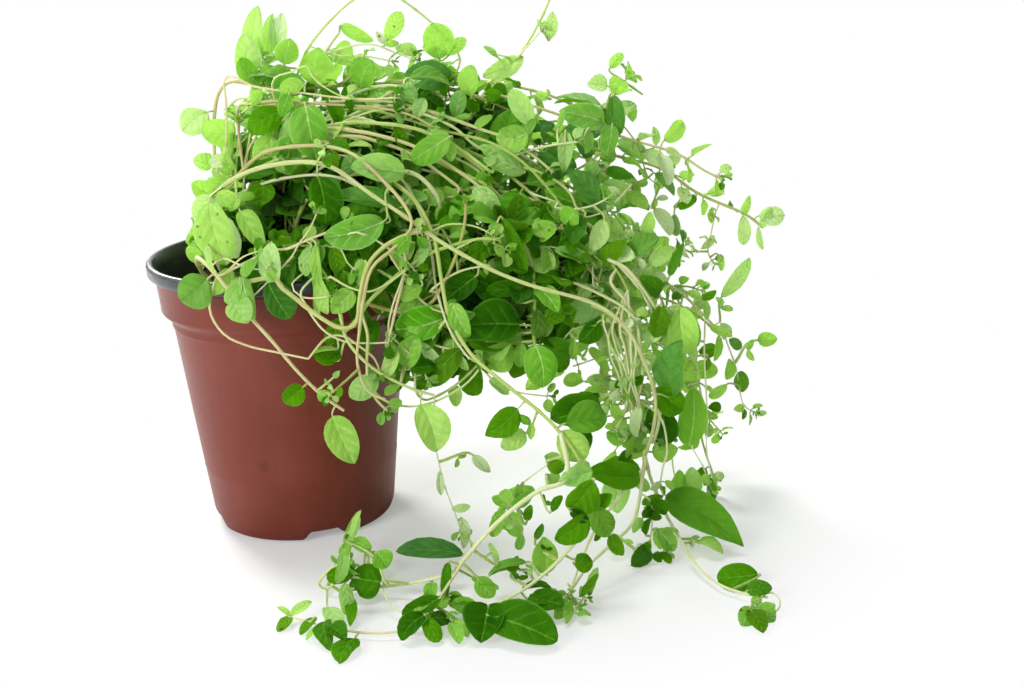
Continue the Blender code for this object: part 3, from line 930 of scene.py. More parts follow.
room = {
    "low": (-66, -158, 0.4),  # the corners of the space that the plant may grow in
    "high": (228, 96, 238),
    "rim": 123,  # nothing over this height touches the pot
    "soil": 109,
    "opening": 52,  # the radius inside the lip
    "shoulder": 100,  # a height
    # the part of a leaf that is further out than this hangs outside the pot: below the shoulder
    # and over it
    "outside": (20.5, 50.5),
}


def closeness(point, places):  # 1 at the middle of one of the places, and 0 outside them all
    closest = 0.0
    for middle, reach in places:
        off = Vector([(point[i] - middle[i]) / reach[i] for i in range(3)])
        closest = max(closest, 1 - off.length)
    return closest


def leafFinish(name, under):
    look = leafLooks[name]
    finish, nodes = newFinish("leaf " + name + (" under" if under else " top"))
    across, along, edge = nodes.stored("place")
    tint, age, phase = nodes.stored("tone")
    where = nodes.where()
    sideways = abs(across)
    # painted highlight, from a tint above 1: the leaf is mixed towards near-white, with fainter veins, and
    # lets less light through
    paintedHighlight = (tint - 1).inside()
    # painted sheen, from an age below -0.42: the leaf is mixed towards grey-green, for the sky reflected on
    # its top, and lets less light through
    paintedSheen = (0 - age - 0.42).inside()
    plain = 1 - paintedHighlight * 0.7
    midrib = (sideways + along * 0.03).step(0.085, 0.03)
    wave = (along * leafShape["veinPairs"] - sideways * 1.5 + phase).do("PINGPONG", 0.5) * 2
    veins = wave.step(0.32, 0.04) * edge.step(1.0, 0.6)
    furrow = wave.step(0.95, 0.4) * edge.step(1.0, 0.5)
    mesh = nodes.cells(where, 620.0, "DISTANCE_TO_EDGE").step(0.0, 0.16)
    mottle = nodes.noise(where, 85.0, 3.0).step(0.32, 0.68)
    # painted shade, from a tint below 0: it darkens the leaf and lets less light through it
    shade = (0 - tint).inside()
    body = nodes.mix(look["deep"], look["light"], (mottle * 0.3 + tint * 0.85 - 0.04).inside() ** 1.3)
    body = nodes.mix(body, look["old"], age.inside())
    body = nodes.mix(body, leafColours["paintedSheen"], (paintedSheen * (0.6 + mottle * 0.4)).inside())
    body = nodes.mix(body, look["deep"], (1 - mesh) * 0.22)
    body = nodes.mix(body, look["deep"], (1 - furrow) * 0.2)
    body = nodes.mix(body, look["vein"], (midrib * 0.75 + veins * 0.24 * plain).inside())
    # painted highlight along the leaf's edge, where backlight would catch its margin
    body = nodes.mix(body, look["rim"], edge.step(0.88, 1.0) * 0.4)
    if under:
        body = nodes.mix(body, leafColours["underside"], look["underside"])
    body = nodes.mix(body, leafColours["paintedHighlightColour"], paintedHighlight * look["paintedHighlight"])
    body = nodes.mix(body, leafColours["shade"], shade * 0.85)
    blemish = nodes.cells(where, 210.0).step(0.20, 0.08) * phase.step(0.86, 0.93)
    body = nodes.mix(body, leafColours["blemish"], blemish * 0.8)
    ribs = (midrib + veins * 0.7).inside()
    height = ribs * (1.0 if under else -0.8) + mesh * 0.3 - furrow * plain * (0.5 if under else 0.7)
    values = {
        "Base Color": body,
        "Roughness": look["roughness"] + mottle * 0.1 + (1 - mesh) * 0.1 + (0.14 if under else 0.0),
        "Normal": nodes.bump(height, 0.7, 0.36), "Specular IOR Level": look["gloss"],
        "Sheen Weight": look["sheen"], "Sheen Roughness": 0.45,
    }
    share = (look["glowShare"] - ribs * 0.16 - blemish * 0.3) * (1 - shade * 0.75)
    nodes.finish(values, look["glow"], share * (1 - paintedHighlight * 0.65) * (1 - paintedSheen * 0.5))
    return finish


def stalkFinish():
    finish, nodes = newFinish("leaf stalk")
    around, along, mark = nodes.stored("place")
    patch = nodes.noise(nodes.join(around * 2, along * 0.4, mark), 1.0, 2.0).step(0.3, 0.7)
    body = nodes.mix(*leafColours["stalk"], patch)
    nodes.finish({"Base Color": body, "Roughness": 0.5 + patch * 0.1})
    return finish


leafShapes = {}  # by stem and tone


def shapeFor(home, tone):
    return leafShapes.setdefault((home, tone), Shape())


def restOutside(point, thick):  # keeps a leaf off the floor, the pot's wall and the soil
    point.z = max(point.z, leafShape["floor"] + thick)
    if point.z > room["rim"]:
        return point
    away = math.hypot(point.x, point.y)
    if away > room["outside"][point.z >= room["shoulder"]]:
        push = max(1.0, (potRadius(point.z) + pot["clear"]) / away)
        point.x *= push
        point.y *= push
    else:
        point.z = max(point.z, room["soil"] + 1)
    return point


def leafTone(kind, middle, own):  # its tint, its age, which below -0.42 gives a painted grey sheen, and what sets its veins apart
    # painted light: leaves in the lit places get a higher tint
    paintedLightLift = min(0.8, 1.5 * closeness(middle, leafShape["paintedLightPlaces"]))
    tint = chance.uniform(*leafLooks[kind]["tints"]) + leafShape["paintedLightLift"] * paintedLightLift
    # painted shade: leaves in the shaded places get a lower tint
    tint -= closeness(middle, leafShape["shaded"]) * own.get("shade", leafShape["shade"])
    age = chance.uniform(*leafShape["ages"]) - closeness(middle, leafShape["paintedSheen"])
    return own.get("tint", tint), own.get("age", age), chance.random()


# A blade with a thickness: v runs along it and u across it, and own holds what is its own.
def addLeaf(home, kind, base, tip, facing, width, **own):
    shape = shapeFor(home, kind)
    length = (tip - base).length
    ahead = (tip - base) / length
    side = ahead.cross(facing).normalized()
    face = side.cross(ahead)
    fold, cup, arch, bow, twist, blunt, sharp = [
        own.get(name, chance.uniform(*span)) for name, span in leafShape["bends"].items()
    ]
    widest = blunt / (blunt + sharp)
    full = widest ** blunt * (1 - widest) ** sharp
    seed = Vector((chance.random() * 90, chance.random() * 90, 0))
    uneven = (seed.x / 90 - 0.5) * leafShape["uneven"]
    tone = leafTone(kind, base.lerp(tip, 0.5), own)
    rows, columns = next(grid for least, *grid in leafShape["grids"] if width > least)
    tops = []
    unders = []
    for i in range(rows + 1):
        v = 0.5 - 0.5 * math.cos(math.pi * (0.02 + 0.975 * i / rows))
        reach = v ** blunt * (1 - v) ** sharp / full
        wide = width / 2 * reach
        belly = length * 4 * v * (1 - v)
        middle = base + ahead * (v * length) + face * (arch * belly)
        middle += side * (bow * belly)
        across = turnAround(side, face, twist * (v - 0.4))
        above = turnAround(face, -side, twist * (v - 0.4))
        tops.append([])
        unders.append([])
        for k in range(columns + 1):
            u = -1 + 2 * k / columns
            rise = wide * (fold * abs(u) - cup * u * u)
            wave = (v * leafShape["veinPairs"] - abs(u) * reach * 1.5 + tone[2]) * 2 * math.pi
            ripple = noise.noise(Vector((u * 1.6, v * 3.2, 0)) + seed) * width
            rise += ripple * leafShape["ripple"] * abs(u)
            rise -= math.cos(wave) * width * leafShape["quilting"] * (1 - u * u)
            rim = k in (0, columns) or i in (0, rows)
            thick = 0.0 if rim else leafShape["thickness"] / 2 * (1 - 0.55 * u ** 4)
            point = middle + across * (u * wide * (1 + uneven * u)) + above * rise
            point = restOutside(point, thick)
            place = (u * reach, v, abs(u))
            top = shape.addPoint(point + above * thick, place, tone)
            tops[i].append(top)
            unders[i].append(top if rim else shape.addPoint(point - above * thick, place, tone))
    for i in range(rows):
        for k in range(columns):
            shape.addFace((tops[i][k], tops[i][k + 1], tops[i + 1][k + 1], tops[i + 1][k]), 0)
            shape.addFace((unders[i][k], unders[i + 1][k], unders[i + 1][k + 1], unders[i][k + 1]), 1)


def addStalk(home, kind, root, base, leafAhead, outward, radius=leafShape["stalk"]):
    shape = shapeFor(home, kind)
    reach = (base - root).length
    a = root + outward * (reach * 0.35)
    b = base - leafAhead * (reach * 0.3)
    path = []
    steps = 3 if reach < 5 else 6
    for i in range(steps + 1):
        t = i / steps
        near = root * (1 - t) ** 3 + a * (3 * t * (1 - t) ** 2)
        path.append(near + b * (3 * t * t * (1 - t)) + base * t ** 3)
    path.append(base + leafAhead)
    radii = [radius * (1.25 - 0.4 * i / (steps + 1)) for i in range(steps + 2)]
    addTube(shape, path, radii, (0, 0, chance.random()), 2, 4)


facings = {
    "front": Vector((0.1, -0.95, 0.3)),
    "up": Vector((0.0, -0.1, 1.0)),
    "skew": Vector((0.5, -0.6, 0.6)),
    "left": Vector((-0.6, -0.6, 0.5)),
    "tilt": Vector((0.0, -0.7, 0.7)),
    "back": Vector((0.0, 0.9, 0.4)),
}


def blocked(point):  # out of the plant's room, or inside the pot
    if any(not room["low"][i] <= point[i] <= room["high"][i] for i in range(3)):
        return True
    away = math.hypot(point.x, point.y)
    if point.z > room["rim"] or away > potRadius(point.z) + pot["clear"]:
        return False
    return point.z < room["soil"] or away > room["opening"]


# The largest leaves: the stem that carries each, how far along it, the tip, the blade's width,
# the way that its face looks, its tone, its tint from deep (0) to light (1), with painted shade
# below 0 and a painted highlight above 1, and for some the blade's base.
largeLeaves = {
    "leaf_01": ("stem_10", 0.96, (-6, 20, 226), 9, "front", "bright", 1.3),
    "leaf_02": ("stem_08", 0.385, (-12, 15, 215), 12, "front", "bright", 1.3),
    "leaf_03": ("stem_11", 0.92, (34, 16, 200), 12, "front", "bright", 0.9),
    "leaf_04": ("stem_02", 0.34, (20, -18, 164), 17, "front", "pale", 0.1),
    "leaf_05": ("stem_08", 0.30, (-42, 12, 174), 13, "front", "bright", 1.5),
    "leaf_06": ("stem_01", 0.36, (24, -46, 142), 14, "front", "dark", 0.2),
    "leaf_07": ("stem_06", 0.33, (33, -34, 168), 11, "front", "pale", 0.4),
    "leaf_08": ("stem_01", 0.12, (-14, -34, 127), 17, "front", "pale", 1.6),
    "leaf_09": ("stem_02", 0.60, (25, -60, 140), 13, "front", "pale", 0.1, (49, -58, 145)),
    "leaf_10": ("stem_17", 0.42, (-34, -62, 117), 15, "front", "dark", 1.3),
    "leaf_11": ("stem_17", 0.52, (-6, -72, 109), 11, "front", "pale", 0.6),
    "leaf_12": ("stem_17", 0.97, (32, -72, 48), 13, "front", "bright", 0.7),
    "leaf_13": ("stem_17", 0.86, (5, -72, 76), 9, "skew", "dark", 0.9),
    "leaf_14": ("stem_03", 0.95, (79, -64, 102), 18, "front", "dark", 0.0),
    "leaf_15": ("stem_03", 0.98, (110, -68, 76), 14, "front", "bright", 0.15),
    "leaf_16": ("stem_06", 0.86, (86, -92, 65), 11, "front", "dark", 0.9),
    "leaf_17": ("stem_19", 0.96, (66, -78, 54), 14, "front", "bright", 1.1),
    "leaf_18": ("stem_08", 0.62, (57, 4, 196), 13, "front", "dark", 0.5, (77, 4, 194)),
    "leaf_19": ("stem_12", 0.62, (110, 10, 172), 11, "front", "dark", 0.8),
    "leaf_20": ("stem_05", 0.60, (128, -16, 156), 14, "front", "dark", 0.8),
    "leaf_21": ("stem_04", 0.61, (99, -38, 140), 16, "front", "bright", 0.0),
    "leaf_22": ("stem_01", 0.91, (167, -62, 92), 17, "left", "dark", 0.9, (162, -63, 69)),
    "leaf_23": ("stem_14", 0.80, (179, 10, 44), 13, "front", "bright", 1),
    "leaf_24": ("stem_06", 0.93, (134, -92, 70), 13, "front", "dark", 1.1),
    "leaf_25": ("stem_01", 0.99, (126, -82, 44), 13, "tilt", "dark", 0.8, (148, -74, 38)),
    "leaf_26": ("stem_22", 0.26, (191, -71, 4), 17, "tilt", "dark", 1.1, (161, -52, 20)),
    "leaf_27": ("stem_22", 0.86, (176, -97, 3), 13, "tilt", "dark", 0.6, (192, -100, 5)),
    "leaf_28": ("stem_20", 0.47, (48, -91, 17), 9, "tilt", "dark", 0.0, (75, -88, 13)),
    "leaf_29": ("stem_24", 0.96, (110, -147, 3.5), 17, "tilt", "dark", 0.1, (85, -133, 8)),
    "leaf_30": ("stem_24", 0.93, (82, -142, 1.8), 16, "tilt", "dark", -0.1, (85, -127, 9)),
    "leaf_31": ("stem_23", 0.62, (30, -152, 1.2), 10, "up", "dark", 0.7),
    "leaf_32": ("stem_07", 0.98, (222, 12, 126), 9, "front", "pale", 1.4),
    "leaf_33": ("stem_15", 0.80, (92, 88, 84), 13, "back", "dark", 0.3),
    "leaf_34": ("stem_16", 0.78, (-10, 88, 100), 12, "back", "dark", 0.5),
}

largeLook = {
    "arch": 0.08,
    "twist": 0.1,
    "point": 0.62,  # the higher this is, the more pointed the leaf
    "points": {
        "leaf_26": 0.95, "leaf_16": 0.9, "leaf_22": 0.85, "leaf_12": 0.75, "leaf_29": 0.52, "leaf_30": 0.5,
    },
    # the large leaves with a painted grey sheen, and the age that gives it
    "paintedSheen": ("leaf_07", "leaf_18", "leaf_20", "leaf_22", "leaf_28"),
    "paintedSheenAge": -0.9,
}


def makeLargeLeaves():
    for name, (stem, share, tip, width, facing, tone, tint, *blade) in largeLeaves.items():
        branch = stemBranches[stem]
        root, ahead = branch.at(share)
        tip = Vector(tip)
        outward = tip - root
        outward = (outward - ahead * outward.dot(ahead)).normalized()
        start = root + outward * branch.radius(share) * 0.7
        away = tip - start
        base = Vector(blade[0]) if blade else start + outward * (away.length * 0.12) + away * 0.07
        addStalk(stem, tone, start, base, (tip - base).normalized(), outward)
        own = {"arch": largeLook["arch"], "twist": largeLook["twist"], "tint": tint}
        own["point"] = largeLook["points"].get(name, largeLook["point"])
        own["age"] = largeLook["paintedSheenAge"] if name in largeLook["paintedSheen"] else 0.0
        addLeaf(stem, tone, base, tip, facings[facing].normalized(), width, **own)
        branch.nodes.append(share)


# The other leaves that give the plant its outline, by tone and facing: the place of the blade's
# base, the place of its tip, its width, and where it matters its tint, with painted shade below 0
# and a painted highlight above 1. Each grows from the stem that passes nearest.
outlineLeaves = {
    ("bright", "front"): [
        (76, -34, 174, 60, -36, 165, 11, 0.25), (4, 17, 201, 8, 15, 212, 11, 0.4),
        (-7, 12, 193, -14, 11, 205, 9, -0.1), (18, 14, 192, 20, 10, 208, 16, 0.55),
        (85, -8, 187, 86, -8, 200, 9, 0.6), (78, -10, 178, 81, -10, 190, 7, 0.4),
        (-1, 10, 190, 13, 8, 195, 8, 0.1), (29, 24, 216, 43, 20, 209, 6), (48, 30, 208, 55, 34, 220, 8),
        (37, 14, 189, 43, 8, 202, 12, 0.1), (-29, 4, 160, -36, 0, 164, 8), (-26, -4, 148, -36, -8, 155, 9),
        (-20, 0, 161, -19, 2, 180, 7), (-2, -36, 133, -4, -44, 118, 9), (-31, -30, 125, -36, -30, 132, 6),
        (19, -50, 132, 15, -54, 123, 6), (71, 30, 199, 69, 30, 215, 14), (61, 30, 203, 52, 26, 205, 6),
        (120, 26, 206, 122, 26, 218, 6), (127, -24, 133, 118, -30, 127, 8), (75, -66, 112, 81, -70, 99, 8),
        (98, -58, 92, 86, -60, 86, 13, -0.1), (102, -88, 64, 92, -92, 60, 8),
        (145, 24, 185, 136, 24, 186, 8), (152, 4, 142, 141, 0, 138, 10), (203, 10, 127, 206, 10, 136, 4),
        (203, 10, 127, 203, 8, 114, 6), (211, 10, 121, 216, 10, 130, 5), (171, -20, 92, 175, -22, 74, 13),
        (115, -94, 66, 125, -98, 56, 12), (210, 10, 69, 219, 10, 69, 7), (97, -78, 30, 91, -69, 32, 5),
        (95, -80, 30, 105, -69, 32, 6), (156, -73, 5, 156, -67, 12, 7), (17, -24, 188, 20, -25, 166, 16),
        (2, -18, 175, -7, -20, 166, 9), (-24, -34, 151, -18, -42, 126, 16),
        (-12, -34, 147, -2, -40, 131, 9), (-15, -9, 176, -29, -13, 178, 12),
        (-20, -10, 166, -27, -12, 163, 6), (-18, -14, 158, -28, -16, 151, 8),
        (-18, -12, 160, -20, -14, 168, 5), (34, -14, 176, 26, -16, 166, 8), (10, -18, 192, 6, -20, 183, 6),
        (-2, -14, 194, -6, -16, 188, 5), (16, -16, 196, 6, -17, 192, 7), (52, -36, 150, 58, -40, 141, 6),
        (24, -54, 135, 14, -58, 126, 8), (-14, -54, 127, -22, -60, 118, 7),
        (22, -62, 138, 23, -65, 121, 4.5), (36, -67, 119, 27, -69, 111, 9),
        (41, -66, 131, 39, -68, 119, 4), (53, -64, 133, 60, -64, 140, 6), (63, -62, 119, 54, -64, 114, 7),
        (52, -68, 95, 47, -70, 84, 6), (52, -70, 80, 46, -72, 77, 4), (61, -60, 136, 51, -61, 130, 8, 0.0),
        (72, -60, 105, 51, -61, 101, 14, -0.05), (61, -61, 113, 53, -62, 110, 5),
        (70, -60, 93, 80, -60, 96, 5), (98, -56, 95, 84, -58, 85, 10), (74, -60, 76, 74, -61, 67, 6),
        (78, -50, 142, 76, -51, 149, 4.5), (86, -18, 175, 94, -19, 180, 4),
        (134, -16, 172, 132, -18, 162, 4.5), (127, -26, 143, 114, -27, 149, 7),
        (150, -12, 147, 138, -14, 143, 8), (124, -18, 172, 123, -20, 155, 6.5),
        (121, -16, 173, 124, -17, 181, 3), (136, -16, 152, 134, -17, 159, 6),
        (138, -38, 138, 132, -40, 125, 8), (133, -44, 92, 122, -45, 91, 8),
        (121, -46, 89, 120, -47, 81, 5), (155, -30, 130, 158, -31, 139, 6),
        (168, -48, 102, 170, -49, 82, 13, 0.95), (172, -46, 100, 175, -47, 84, 6, 0.0),
        (171, -50, 42, 173, -50, 67, 13, -0.1), (155, -54, 41, 166, -54, 42, 9, 0.2),
        (136, -54, 50, 143, -55, 46, 6, 0.1), (124, -50, 90, 123, -51, 82, 4, 0.2),
        (139, -52, 62, 142, -53, 55, 5, 0.6), (97, 16, 183, 90, 15, 185, 6),
        (118, 14, 182, 113, 14, 185, 4.5), (146, 22, 193, 152, 22, 199, 5),
        (154, 14, 178, 155, 14, 170, 5.5), (160, 10, 157, 169, 9, 152, 7), (169, 10, 158, 175, 10, 156, 4),
        (151, 2, 141, 160, 0, 134, 7), (163, 4, 133, 170, 2, 121, 6.5), (189, 10, 131, 189, 10, 124, 3),
        (190, 8, 119, 184, 8, 113, 4), (191, 6, 111, 193, 6, 103, 4), (194, -10, 67, 193, -10, 57, 5, 0.3),
        (193, -10, 55, 185, -10, 49, 5, 0.9), (201, -10, 44, 196, -10, 43, 4, 0.9),
        (174, -20, 101, 180, -20, 98, 4, 0.9), (188, -20, 81, 186, -20, 69, 4, 0.1),
        (184, -20, 85, 194, -20, 80, 4, 0.9), (176, -20, 70, 174.5, -20, 65, 4, 0.4),
        (167, -50, 19, 167, -50, 31, 7.5, 0.1), (151, -56, 51, 144, -58, 40, 9, 0.0),
        (33, -106, 29, 40, -106, 25, 6, 0.3), (42, -106, 24, 46, -108, 18, 9, 0.0),
        (108, -106, 12, 107, -105, 27, 11, 0.4), (69, -112, 8, 64, -114, 3, 6),
        (81, -112, 14, 87, -113, 6, 8, 0.4), (80, -120, 5, 71, -121, 8, 7, 0.3),
        (61, -112, 3, 62, -112, 10, 7, -0.05), (92, -60, 27, 105, -60, 29, 5, 0.3),
        (94, -60, 22, 87, -60, 26, 5, 0.2), (90, -60, 18, 86, -60, 8, 6, 0.3),
        (93, -60, 18, 98, -60, 8, 7, 0.2), (175, -20, 79, 177, -24, 70, 5, 1.3),
        (70, -62, 22, 78, -62, 23, 4, 1.5), (63, -100, 7, 62, -106, 2, 6, 0.1),
        (116, -114, 5, 114, -130, 2, 5, 0.7),
    ],
    ("bright", "left"): [
        (22, -54, 136, 21, -62, 107, 6), (23, -64, 124, 25, -67, 110, 8),
    ],
    ("bright", "skew"): [
        (3, 14, 190, 14, 8, 194, 6), (11, 2, 182, -9, -6, 176, 11), (108, 22, 199, 90, 16, 192, 9),
        (108, -20, 172, 95, -22, 170, 13),
    ],
    ("bright", "tilt"): [
        (116, -118, 5, 110, -125, 2, 6, 0.2), (190, -119, 4, 185, -129, 6, 4, 0.4),
    ],
    ("bright", "up"): [
        (184, 10, 137, 195, 10, 137, 5), (79, -107, 12, 89, -115, 10, 7, 0.1),
        (57, -129, 8, 65, -120, 9, 5), (34, -71, 8, 27, -59, 9, 7, 0.4), (36, -70, 8, 44, -80, 6, 8, -0.1),
        (21, -127, 4, 16, -133, 1, 5), (8, -116, 3, 16, -111, 6, 5), (94, -76, 26, 97, -88, 22, 8, 0.3),
        (92, -79, 26, 87, -79, 24, 6, 0.1), (137, -64, 8, 138, -73, 3, 6), (8, -114, 2, 2, -110, 4, 3),
        (28, -69, 96, 17, -71, 94, 5), (-28, -28, 128, -34, -30, 134, 4),
        (139, -46, 81, 133, -47, 79, 4, 1.0), (178, 0, 114, 170, -2, 115, 5),
        (172, -70, 6, 182, -74, 2, 6), (71, -130, 4, 74, -141, 1, 6, 0.5),
        (70, -113, 6, 78, -120, 3, 8, 0.6), (72, -124, 3, 77, -136, 1, 6, 0.9),
        (119, -124, 3, 124, -126, 3, 5, 0.2),
    ],
    ("dark", "front"): [
        (91, -8, 187, 98, -8, 188, 5.5, 0.8), (96, -14, 168, 102, -14, 181, 13, 1.1),
        (-4, -20, 157, -5, -26, 147, 12), (-4, -30, 134, -11, -30, 144, 8),
        (30, -60, 120, 26, -64, 112, 7), (84, 22, 181, 84, 24, 196, 10), (106, -50, 114, 88, -54, 114, 7),
        (144, 14, 163, 146, 16, 179, 10), (162, -30, 98, 159, -36, 85, 10),
        (6, -16, 185, -8, -19, 177, 12), (26, -14, 190, 30, -16, 178, 7), (38, -24, 168, 30, -26, 160, 7),
        (30, -44, 142, 46, -46, 146, 12), (50, -46, 142, 33, -48, 139, 12),
        (22, -28, 160, 28, -34, 146, 12), (76, -22, 162, 72, -26, 150, 8), (0, -57, 128, -8, -61, 117, 8),
        (12, -56, 131, 6, -60, 116, 9), (18, -55, 129, 26, -60, 117, 9), (30, -53, 131, 36, -60, 117, 10),
        (36, -51, 129, 45, -58, 114, 10), (40, -56, 121, 49, -60, 106, 9), (34, -61, 113, 41, -63, 100, 8),
        (44, -60, 105, 38, -65, 92, 8), (30, -63, 107, 24, -66, 97, 7), (46, -56, 124, 56, -58, 115, 9),
        (40, -46, 138, 48, -52, 124, 11), (20, -50, 136, 30, -55, 128, 9), (0, -48, 132, -9, -55, 124, 8),
        (8, -50, 134, 14, -56, 122, 9), (2, -64, 123, 10, -67, 109, 12), (28, -60, 136, 29, -62, 126, 7),
        (32, -60, 126, 40, -64, 112, 8), (85, -57, 121, 72, -58, 112, 11, -0.1),
        (101, -50, 107, 83, -50, 118, 15), (77, -62, 92, 64, -63, 77, 10),
        (96, -50, 143, 105, -52, 120, 6), (70, -50, 141, 79, -51, 145, 5), (98, -22, 158, 88, -24, 154, 6),
        (138, -24, 142, 125, -22, 156, 12), (145, -8, 185, 147, -10, 168, 8),
        (141, -10, 153, 152, -12, 150, 6), (112, -18, 163, 121, -20, 152, 7),
        (130, -40, 140, 119, -42, 128, 9), (136, -38, 119, 147, -40, 129, 8),
        (149, -34, 122, 161, -36, 129, 9), (165, -36, 112, 171, -38, 127, 4.5),
        (160, -40, 105, 152, -42, 114, 8, 0.5), (137, -44, 102, 120, -45, 100, 10),
        (160, -50, 103, 157, -51, 90, 9, 0.2), (155, -63, 72, 167, -62, 62, 12, 0.9),
        (160, -52, 60, 159.5, -53, 43, 11, -0.15), (155, -53, 60, 153, -54, 50, 6, 0.1),
        (152, -55, 50, 145, -56, 42, 8, 0.7), (146, -56, 43, 141, -57, 38, 5, 0.1),
        (134, -48, 97, 126, -49, 89, 9, 0.2), (134, -50, 66, 124, -51, 64, 4, -0.1),
        (145, -50, 72, 140, -51, 69, 3.5, 0.0), (148, -50, 70, 152, -51, 74, 4, 0.1),
        (167, 8, 152, 173, 8, 150, 4), (164, 8, 148, 172, 6, 138, 5), (182, 8, 137, 174, 6, 132, 5),
        (172, 6, 130, 173, 5, 120, 5), (194, -10, 76, 199, -10, 71, 5, 1.3),
        (199, -10, 61, 200, -10, 51, 7, 1.1), (201, -10, 43, 200, -10, 38, 2.5, 1.0),
        (180, -20, 98, 187, -20, 101, 4, 1.0), (183, -20, 71, 182.5, -20, 65, 3.5, 1.1),
        (150, -68, 22, 158, -70, 20, 4), (180, -50, 27, 180.5, -50, 15, 4.5, 1.1),
        (43, -108, 12, 31, -104, 13, 14, 0.5), (33, -106, 18, 22, -108, 14, 8, 0.9),
        (110, -98, 55, 116.5, -98, 52, 6, 0.9), (127, -111, 52, 117, -112, 41, 13, 0.9),
        (126, -112, 41, 132, -112, 29, 10, 1.1), (124, -113, 39, 111.5, -113, 29, 11, 0.8),
        (117.5, -114, 41.5, 125, -114, 36, 4.5, -0.3), (129, -108, 40, 134, -108, 45, 6, 0.6),
        (133, -108, 28, 138, -108, 19, 6, 0.7), (153, -70, 23, 149, -71, 19, 5, -0.2),
        # the last leaf on this line is a small blade with painted shade that stands for the shaded
        # underside of the leaf before it
        (153, -70, 26, 159, -71, 20, 6, 0.3), (151, -70, 21, 157, -71, 18, 4, -0.3),
        (94, -104, 12, 97, -104, 19, 5, 0.0), (119, -108, 17, 126, -108, 15, 6, 0.8),
        (104, -101, 24, 107, -101, 31, 3.5, 0.6), (101, -96, 30, 103, -96, 37, 4),
    ],
    ("dark", "left"): [
        (8, -4, 182, 5, -8, 163, 9), (166, -50, 44, 165, -50, 60, 5, -0.3),
        (70, -110, 20, 68, -116, 7, 5, 0.4), (120, -112, 4, 128, -113, 14, 4, 0.6),
        (110.5, -110, 39.5, 115, -110, 46, 4.5, 0.2), (150, -71, 11, 153, -70, 18, 4, 0.2),
        (152, -74, 9, 149, -74, 2, 5, 0.9),
    ],
    ("dark", "skew"): [
        (55, -46, 148, 25, -44, 152, 11), (27, -68, 91, 19, -70, 96, 9),
        (140, -4, 170, 122, -6, 168, 11, 0.6), (133, -80, 69, 112, -90, 70, 14),
        (42, -98, 8, 29, -93, 3, 14, 0.1), (150, -58, 34, 130, -60, 33, 12, 0.5),
    ],
    ("dark", "tilt"): [
        (67, -124, 12, 52, -127, 7, 8, 0.1), (61, -132, 9, 52, -138, 2, 8, 0.0),
        (61, -132, 9, 66, -140, 1.5, 7, 1.0), (63, -131, 7, 70, -128, 5, 7, -0.4),
        (62, -131, 9, 55, -137, 3, 7, 0.6), (119, -110, 19, 126, -110, 18, 4.5, 0.7),
        (100, -116, 6, 114, -124, 6.5, 11, 0.1), (151, -72, 6, 143, -80, 1.5, 8, -0.1),
        (154, -73, 4, 156, -77, 1, 4, 0.0), (156, -73, 4, 160, -78, 1, 4, 0.3),
        (185, -116, 6, 195, -115, 6, 7, 0.8), (184, -131, 5, 187, -142, 1, 8, 0.1),
    ],
    ("dark", "up"): [
        (141, 20, 175, 121, 18, 179, 7), (141, 0, 151, 154, -4, 148, 6), (69, -118, 8, 80, -119, 6, 8),
        (113, -118, 6, 100, -123, 8, 8), (25, -131, 5, 32, -140, 4, 8), (29, -108, 6, 32, -125, 2, 5),
        (8, -116, 3, 4, -125, 1, 5), (58, -14, 190, 46, -15, 191, 6), (10, -58, 128, 1, -60, 118, 7),
        (14, -56, 131, 24, -60, 123, 7), (133, -50, 65, 123, -52, 66, 4.5),
        (170, 8, 147, 176, 8, 145, 3.5), (158, -66, 26, 149, -70, 24, 5), (22, -122, 3, 26, -142, 1, 8),
        (18, -118, 3, 13, -128, 1, 5), (110, -112, 8, 98, -113, 9, 6, 0.1),
        (98, -100, 11, 85, -101, 9, 4, 0.6),
    ],
    ("pale", "front"): [
        (58, -44, 162, 36, -46, 165, 12, 0.6), (-4, 26, 201, -1, 30, 222, 6), (0, 28, 204, 3, 30, 222, 8),
        (38, -64, 121, 40, -66, 132, 5), (85, -30, 152, 95, -38, 142, 10), (145, 6, 168, 143, 2, 156, 8),
        (191, -6, 94, 204, -4, 111, 7), (126, -100, 55, 114, -106, 50, 9, 1.0),
        (24, -62, 8, 30, -55, 20, 5), (12, -17, 185, 7, -19, 165, 9), (62, -16, 186, 56, -18, 194, 7),
        (66, -18, 188, 62, -20, 180, 6), (58, -36, 156, 56, -39, 144, 5), (64, -36, 152, 62, -38, 144, 4),
        (-8, -64, 126, -4, -68, 109, 7), (-9, -64, 126, -15, -66, 116, 6), (-8, -64, 126, -1, -66, 133, 5),
        (4, -63, 122, 5, -65, 140, 9), (20, -61, 137, 17, -63, 125, 6), (26, -71, 85, 29, -72, 88, 2.6),
        (44, -71, 84, 32, -73, 77, 10), (-24, -28, 130, -30, -30, 141, 6), (66, -58, 136, 60, -60, 126, 5),
        (74, -63, 106, 84, -64, 107, 5), (75, -63, 106, 77, -64, 96, 6), (69, -62, 85, 60, -63, 96, 5),
        (76, -62, 89, 80, -63, 83, 4), (96, -26, 141, 82, -27, 151, 8), (110, -18, 175, 102, -16, 190, 9),
        (100, -22, 164, 88, -23, 168, 6), (106, -24, 156, 89, -25, 163, 9),
        (141, -6, 173, 122, -8, 179, 12, 0.05), (144, -12, 173, 141, -14, 160, 8, 0.0),
        (132, -42, 123, 117, -42, 127, 5), (157, -34, 117, 166, -36, 125, 7),
        (136, -52, 62, 134, -53, 56, 5, 1.2), (97, 18, 200, 91, 18, 205, 3),
        (165, 12, 160, 164, 12, 168, 4), (210, 10, 122, 212, 10, 111, 3),
